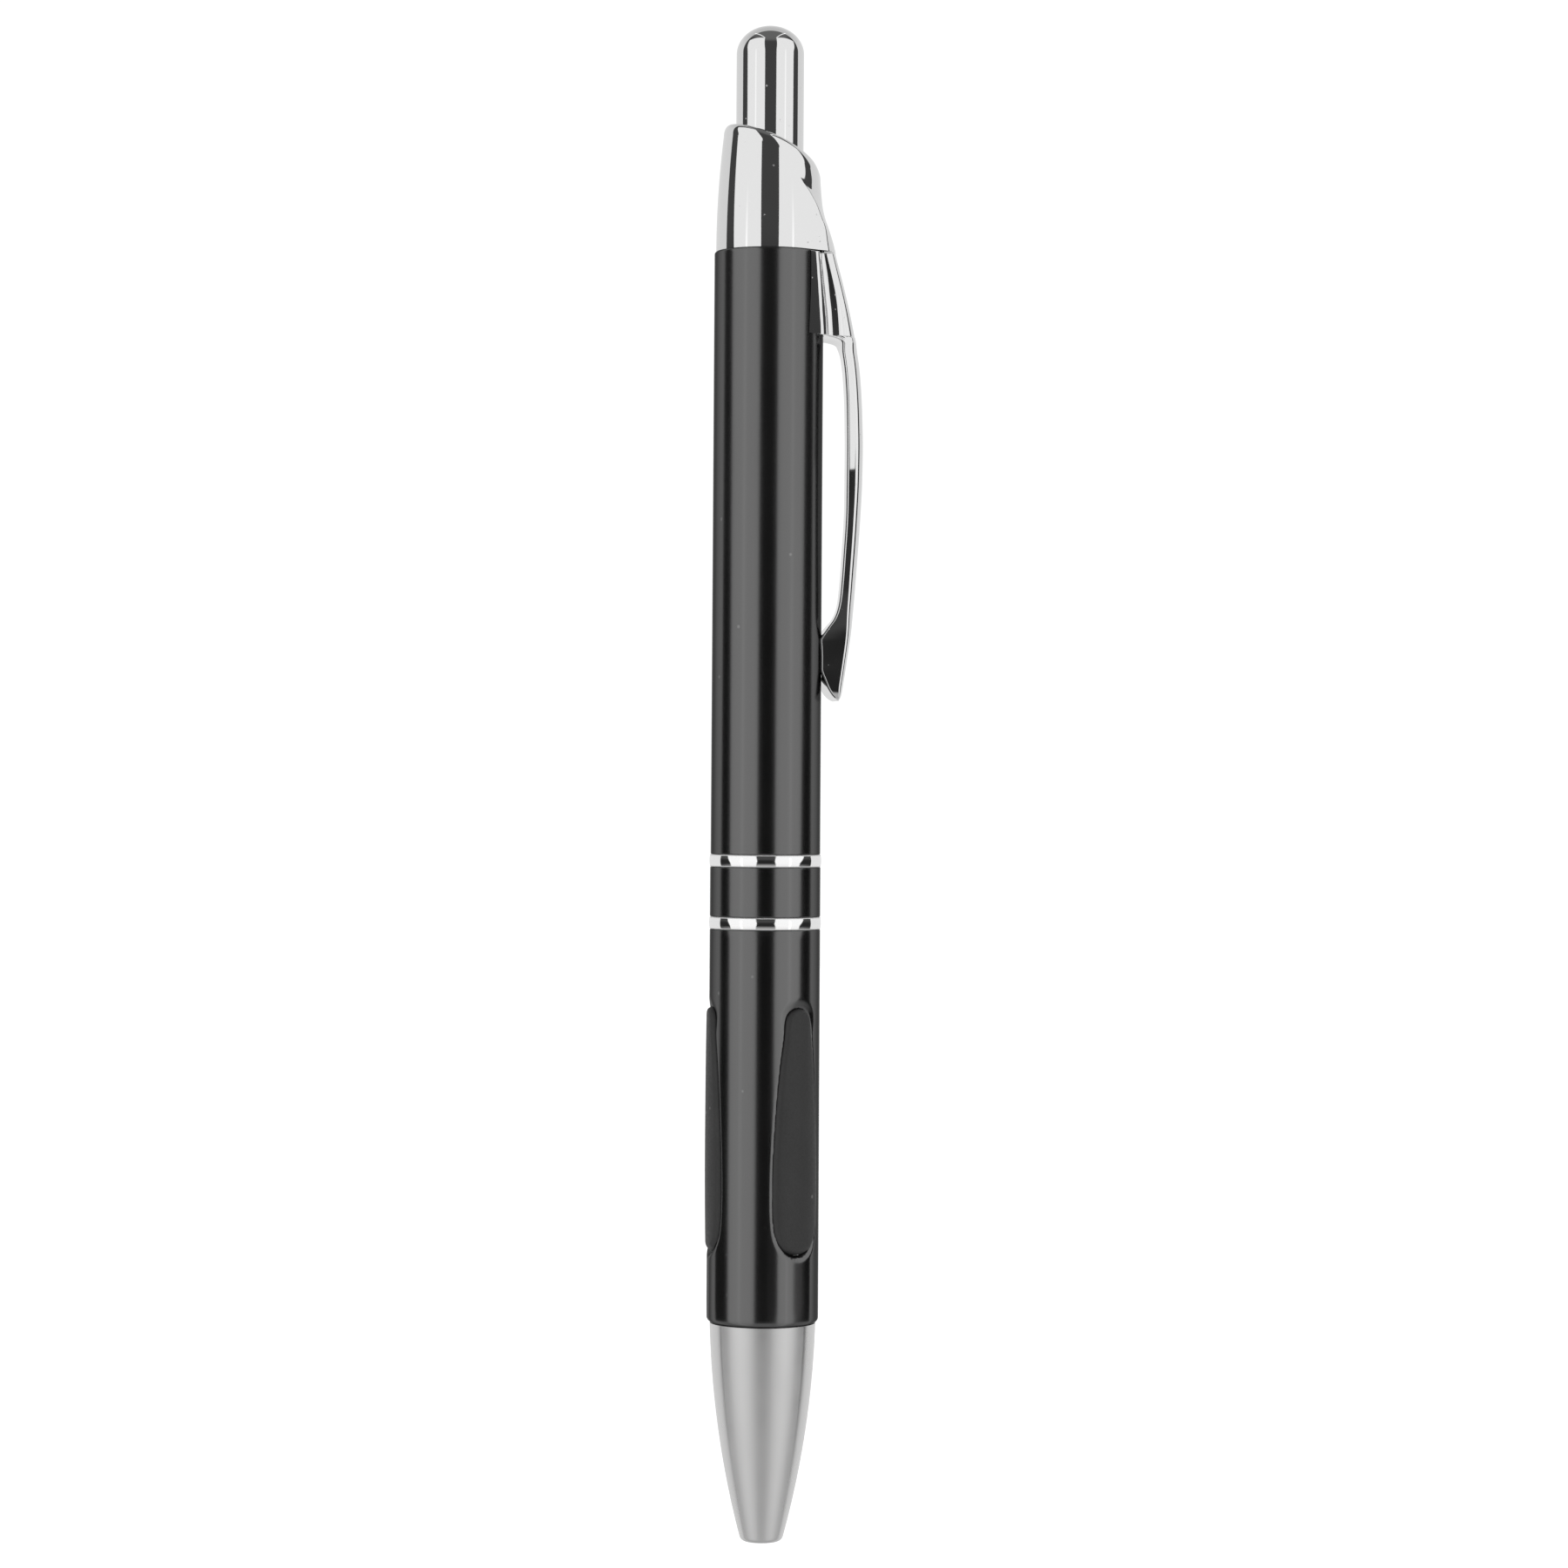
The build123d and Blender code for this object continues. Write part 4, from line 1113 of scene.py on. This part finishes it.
def foot_half(z):
    """The foot's section: barrel arc, facet, flute, side of the web and crowned back."""
    across = Vector((cos(view_turn), sin(view_turn)))
    toward = Vector((sin(view_turn), -cos(view_turn)))
    a, b, c, e = foot_edge(z), flute_start(z), flute_end(z), web_start(z)
    f, g, h = web_flat(z), crown_start(z), crown_turn(z)
    depth = (foot_inner_radius**2 - a**2) ** 0.5
    lower = [(a, 46), (b, 46), (b + 0.05, 26), (c, 26), (c + 0.06, 45), (e - 0.10, 55)]
    web = [(e - 0.03, 60), (e + 0.02, 42), ((e + f) / 2, 26), (f, 9)]
    crown = [((f + g) / 2, 0), (g, 7), ((g + h) / 2, 27), (h, 42)]
    upper = follow_slopes(web + crown, 0.0)
    at_crown = [d for r, d in upper if abs(r - g) < 1e-9][0]
    lift = (clip_half_width(z) + foot_allowance + across.y * g) / -toward.y - at_crown
    line = [(a, depth), *follow_slopes(lower, depth), (web[0][0], lift)]
    line += [(r, d + lift) for r, d in upper]
    points = [across * r + toward * d for r, d in line]
    side = resample([(p.x, -p.y) for p in points], side_columns + 1)
    edge_angle = atan2(side[0].y, side[0].x)
    inner = []
    for k in range(inner_columns):
        angle = edge_angle * k / inner_columns
        inner.append(Vector((foot_inner_radius * cos(angle), foot_inner_radius * sin(angle))))
    return inner + side + crown_arc(side[-1], clip_back(z))


def clip_section(z):
    """The clip's whole outline at this height, foot and strap blended over the arch between them."""
    share = min(max((z - foot_bottom_z) / arch_height + 1, 0), 1)
    strap = twisted(strap_half(z), z)
    if share > 0:
        foot = both_halves(foot_half(max(z, foot_bottom_z)))
        ease = 1 - (1 - share**2) ** 0.5
        strap = [a.lerp(b, ease) for a, b in zip(strap, foot)]
    return [(p.x, p.y, z) for p in strap]


arch_bottom_z = foot_bottom_z - arch_height
clip_heights = np.concatenate([
    clip_tip_z + tip_length * (1 - np.cos(np.linspace(0, pi / 2, 24, endpoint=False))),
    np.linspace(clip_tip_z + tip_length, bump_top_z, 48, endpoint=False),
    np.linspace(bump_top_z, arch_bottom_z, 90, endpoint=False),
    arch_bottom_z + arch_height * np.sin(np.linspace(0, pi / 2, 20, endpoint=False)),
    np.linspace(foot_bottom_z, clip_top_z - top_edge_size, 34),
])
clip_rings = [clip_section(z) for z in clip_heights]
centre_x = (clip_back(clip_top_z) + foot_inner_radius) / 2
for step in range(1, 5):
    angle = radians(22.5 * step)
    z = clip_top_z - top_edge_size * (1 - sin(angle))
    inset = top_edge_size * (1 - cos(angle))
    top_ring = []
    for x, y, _ in clip_section(clip_top_z - top_edge_size):
        top_ring.append((x - inset if x > centre_x else x, y * (1 - inset / narrowing), z))
    clip_rings.append(top_ring)
clip_mesh = loop_mesh("pocket_clip_shell", clip_rings, closed=False)
clip_mesh.materials.append(chrome)
settle(clip_mesh, sharp_angle=38)
place_piece(clip_mesh, "pocket_clip_shell", "clip", "pocket_clip")

# ---------------------------------------------------------------- button cap
# A thin brass cup with an elliptical dome, drawn, polished and chromed, and pressed over the plunger's stem.
cap_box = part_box("button_cap")
cap_bottom_z = cap_box[0].z / MM
cap_top_z = cap_box[1].z / MM
cap_radius = cap_box[1].y / MM
cap_wall = 0.37
dome_height = 2.65
dome_steps = 40


def dome(radius, height, steps):
    """Quarter ellipse from the cylinder up to the pole."""
    base = cap_top_z - dome_height
    turns = [radians(90 * k / steps) for k in range(steps + 1)]
    return [(radius * cos(a), base + height * sin(a)) for a in turns]


cap_section = [(cap_radius, cap_bottom_z + 0.1), (cap_radius, cap_top_z - dome_height - 0.5)]
cap_section += dome(cap_radius, dome_height, dome_steps)
cap_section += list(reversed(dome(cap_radius - cap_wall, dome_height - cap_wall, 16)))
cap_section += [(cap_radius - cap_wall, cap_bottom_z), (cap_radius - 0.1, cap_bottom_z)]
turn_piece("button_cap_shell", cap_section, "button", chrome, "button_cap")

# ---------------------------------------------------------------- click mechanism
# Plunger, cam rotor and cam guide are moulded in natural acetal, which is waxy and slightly translucent.
def grained_finish(name, scale, detail, colours, gloss, stretch=None, bump=None, metal=0.0):
    """A finish whose colour and roughness wander together through one fine noise, and its shader."""
    finish, grain, shader = new_finish(name)
    place = grain.add("ShaderNodeTexCoord").outputs["Object"]
    if stretch:
        place = grain.add("ShaderNodeMapping", None, Vector=place, Scale=stretch)
    noise = grain.add("ShaderNodeTexNoise", None, Vector=place, Scale=scale, Detail=detail)
    mixed_tone = grain.add("ShaderNodeMix", {"data_type": "RGBA"}, i0=noise, i6=colours[0], i7=colours[1])
    grain.feed(shader.inputs["Base Color"], mixed_tone.outputs[2])
    grain.feed(shader.inputs["Roughness"], grain.ramp(noise.outputs[0], 0.3, 0.7, *gloss))
    if bump:
        relief = grain.add(
            "ShaderNodeBump", None, Strength=bump[0], Distance=bump[1], Height=noise.outputs[0]
        )
        grain.feed(shader.inputs["Normal"], relief)
    shader.inputs["Metallic"].default_value = metal
    return finish, shader


acetal_tones = (tone(0.72, 0.01), tone(0.80, 0.02))
acetal_white, acetal_shader = grained_finish("white_acetal", 400.0, 3.0, acetal_tones, (0.38, 0.5))
acetal_shader.inputs["Subsurface Weight"].default_value = 0.15
acetal_shader.inputs["Subsurface Radius"].default_value = (0.0006, 0.0006, 0.0005)


def dress(node_name, finish):
    """A CAD node that keeps its own mesh gets a finished material."""
    mesh = nodes[node_name].data
    mesh.materials.clear()
    mesh.materials.append(finish)


for node_name in ("plunger", "cam_rotor", "cam_guide"):
    dress(node_name, acetal_white)

# ---------------------------------------------------------------- liner and coupler
# The sleeve behind the grips and the threaded insert that joins the barrels: grey moulded plastic.
grey_tones = (tone(0.045), tone(0.06))
grey_bump = (0.2, 0.00003)
grey_plastic, _ = grained_finish("grey_plastic", 2500.0, 4.0, grey_tones, (0.4, 0.55), bump=grey_bump)
for node_name in ("lower_liner", "barrel_coupler"):
    dress(node_name, grey_plastic)

# ---------------------------------------------------------------- refill
# An extruded tube with two pinched ears, its ink and grease plug, and a turned brass point whose hard ball
# shows in the hole of the nose.
tube_tones = (tone(0.60, -0.01), tone(0.68, -0.01))
draw_lines = (1.0, 1.0, 0.05)
refill_plastic, _ = grained_finish("refill_plastic", 1800.0, 3.0, tube_tones, (0.22, 0.34), draw_lines)
dress("refill_tube", refill_plastic)

ink_tones = ((0.006, 0.007, 0.012, 1), (0.012, 0.013, 0.022, 1))
ink_black, _ = grained_finish("ink", 500.0, 2.0, ink_tones, (0.12, 0.2))
dress("ink_column", ink_black)

grease_tones = ((0.62, 0.52, 0.28, 1), (0.72, 0.63, 0.38, 1))
grease_amber, _ = grained_finish("grease", 900.0, 2.0, grease_tones, (0.15, 0.25))
dress("ink_follower", grease_amber)

brass_tones = ((0.66, 0.52, 0.29, 1), (0.78, 0.64, 0.38, 1))
point_lines = (0.03, 0.03, 1.0)
point_bump = (0.15, 0.00002)
point_metal, _ = grained_finish(
    "point_metal", 16000.0, 3.0, brass_tones, (0.16, 0.28), point_lines, point_bump, metal=1.0
)
point_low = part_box("writing_point")[0].z / MM
tube_bottom_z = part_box("refill_tube")[0].z / MM
point_top_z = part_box("writing_point")[1].z / MM
point_outline = eased([
    (0.30, point_low, 0),
    (0.44, point_low, 0.05),
    (0.72, 4.1, 0.15),
    (1.14, 6.0, 0.4),
    (1.14, tube_bottom_z, 0),
    (0.95, tube_bottom_z, 0),
    (0.95, point_top_z, 0.1),
    (0.30, point_top_z, 0),
], steps=6)
turn_piece(
    "writing_point_turned", point_outline, "refill", point_metal, "writing_point",
    segments=96,
)

ball_tones = (tone(0.34), tone(0.46))
ball_metal, _ = grained_finish("ball_metal", 20000.0, 2.0, ball_tones, (0.22, 0.4), metal=1.0)
dress("writing_ball", ball_metal)

# ---------------------------------------------------------------- return spring
# Hard drawn steel wire coiled over the refill between the nose's shoulder and the refill's ears; the end
# coils lie close together.
wire_tones = (tone(0.50), tone(0.60))
spring_steel, _ = grained_finish("spring_steel", 7000.0, 3.0, wire_tones, (0.2, 0.32), metal=1.0)

coil_tree = bpy.data.node_groups.new("compression_coil", "GeometryNodeTree")
coil_sockets = {}
for label in ("Coil Radius", "Wire Radius", "Bottom", "Height", "Turns"):
    coil_sockets[label] = coil_tree.interface.new_socket(
        label, in_out="INPUT", socket_type="NodeSocketFloat"
    )
coil_sockets["Finish"] = coil_tree.interface.new_socket(
    "Finish", in_out="INPUT", socket_type="NodeSocketMaterial"
)
coil_tree.interface.new_socket("Geometry", in_out="OUTPUT", socket_type="NodeSocketGeometry")
coil = Graph(coil_tree)
coil_in = coil.add("NodeGroupInput")
coil_path = coil.add(
    "GeometryNodeCurveSpiral", None, Resolution=40, Rotations=coil_in.outputs["Turns"],
    Start_Radius=coil_in.outputs["Coil Radius"], End_Radius=coil_in.outputs["Coil Radius"],
    Height=coil_in.outputs["Height"],
)
coil_progress = coil.add("GeometryNodeSplineParameter").outputs["Factor"]
coil_wave = coil.math("SINE", coil.math("MULTIPLY", coil_progress, 2 * pi))
coil_ease = coil.math("MULTIPLY_ADD", coil_wave, -0.07, coil_progress)
coil_parts = coil.add("ShaderNodeSeparateXYZ", None, i0=coil.add("GeometryNodeInputPosition"))
coil_z = coil.math("MULTIPLY_ADD", coil_ease, coil_in.outputs["Height"], coil_in.outputs["Bottom"])
coil_place = coil.add(
    "ShaderNodeCombineXYZ", None, X=coil_parts.outputs["X"], Y=coil_parts.outputs["Y"], Z=coil_z
)
coil_path = coil.add("GeometryNodeSetPosition", None, Geometry=coil_path, Position=coil_place)
coil_ring = coil.add(
    "GeometryNodeCurvePrimitiveCircle", None, Resolution=10, Radius=coil_in.outputs["Wire Radius"]
)
coil_wire = coil.add(
    "GeometryNodeCurveToMesh", None, Curve=coil_path, Profile_Curve=coil_ring, Fill_Caps=True
)
coil_wire = coil.add("GeometryNodeRealizeInstances", None, Geometry=coil_wire)
coil_wire = coil.add(
    "GeometryNodeSetMaterial", None, Geometry=coil_wire, Material=coil_in.outputs["Finish"]
)
coil.add("NodeGroupOutput", None, Geometry=coil_wire)

spring_low, spring_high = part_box("return_spring")
wire_radius = 0.18 * MM
spring_values = {
    coil_sockets["Coil Radius"]: spring_high.y - wire_radius,
    coil_sockets["Wire Radius"]: wire_radius,
    coil_sockets["Bottom"]: spring_low.z + wire_radius,
    coil_sockets["Height"]: spring_high.z - spring_low.z - 2 * wire_radius,
    coil_sockets["Turns"]: 12.0,
    coil_sockets["Finish"]: spring_steel,
}
spring_mesh = grown(bpy.data.meshes.new("spring_seed"), coil_tree, spring_values)
settle(spring_mesh, sharp_angle=60)
spring = place_piece(spring_mesh, "return_spring_coil", "root", "return_spring")
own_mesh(spring)
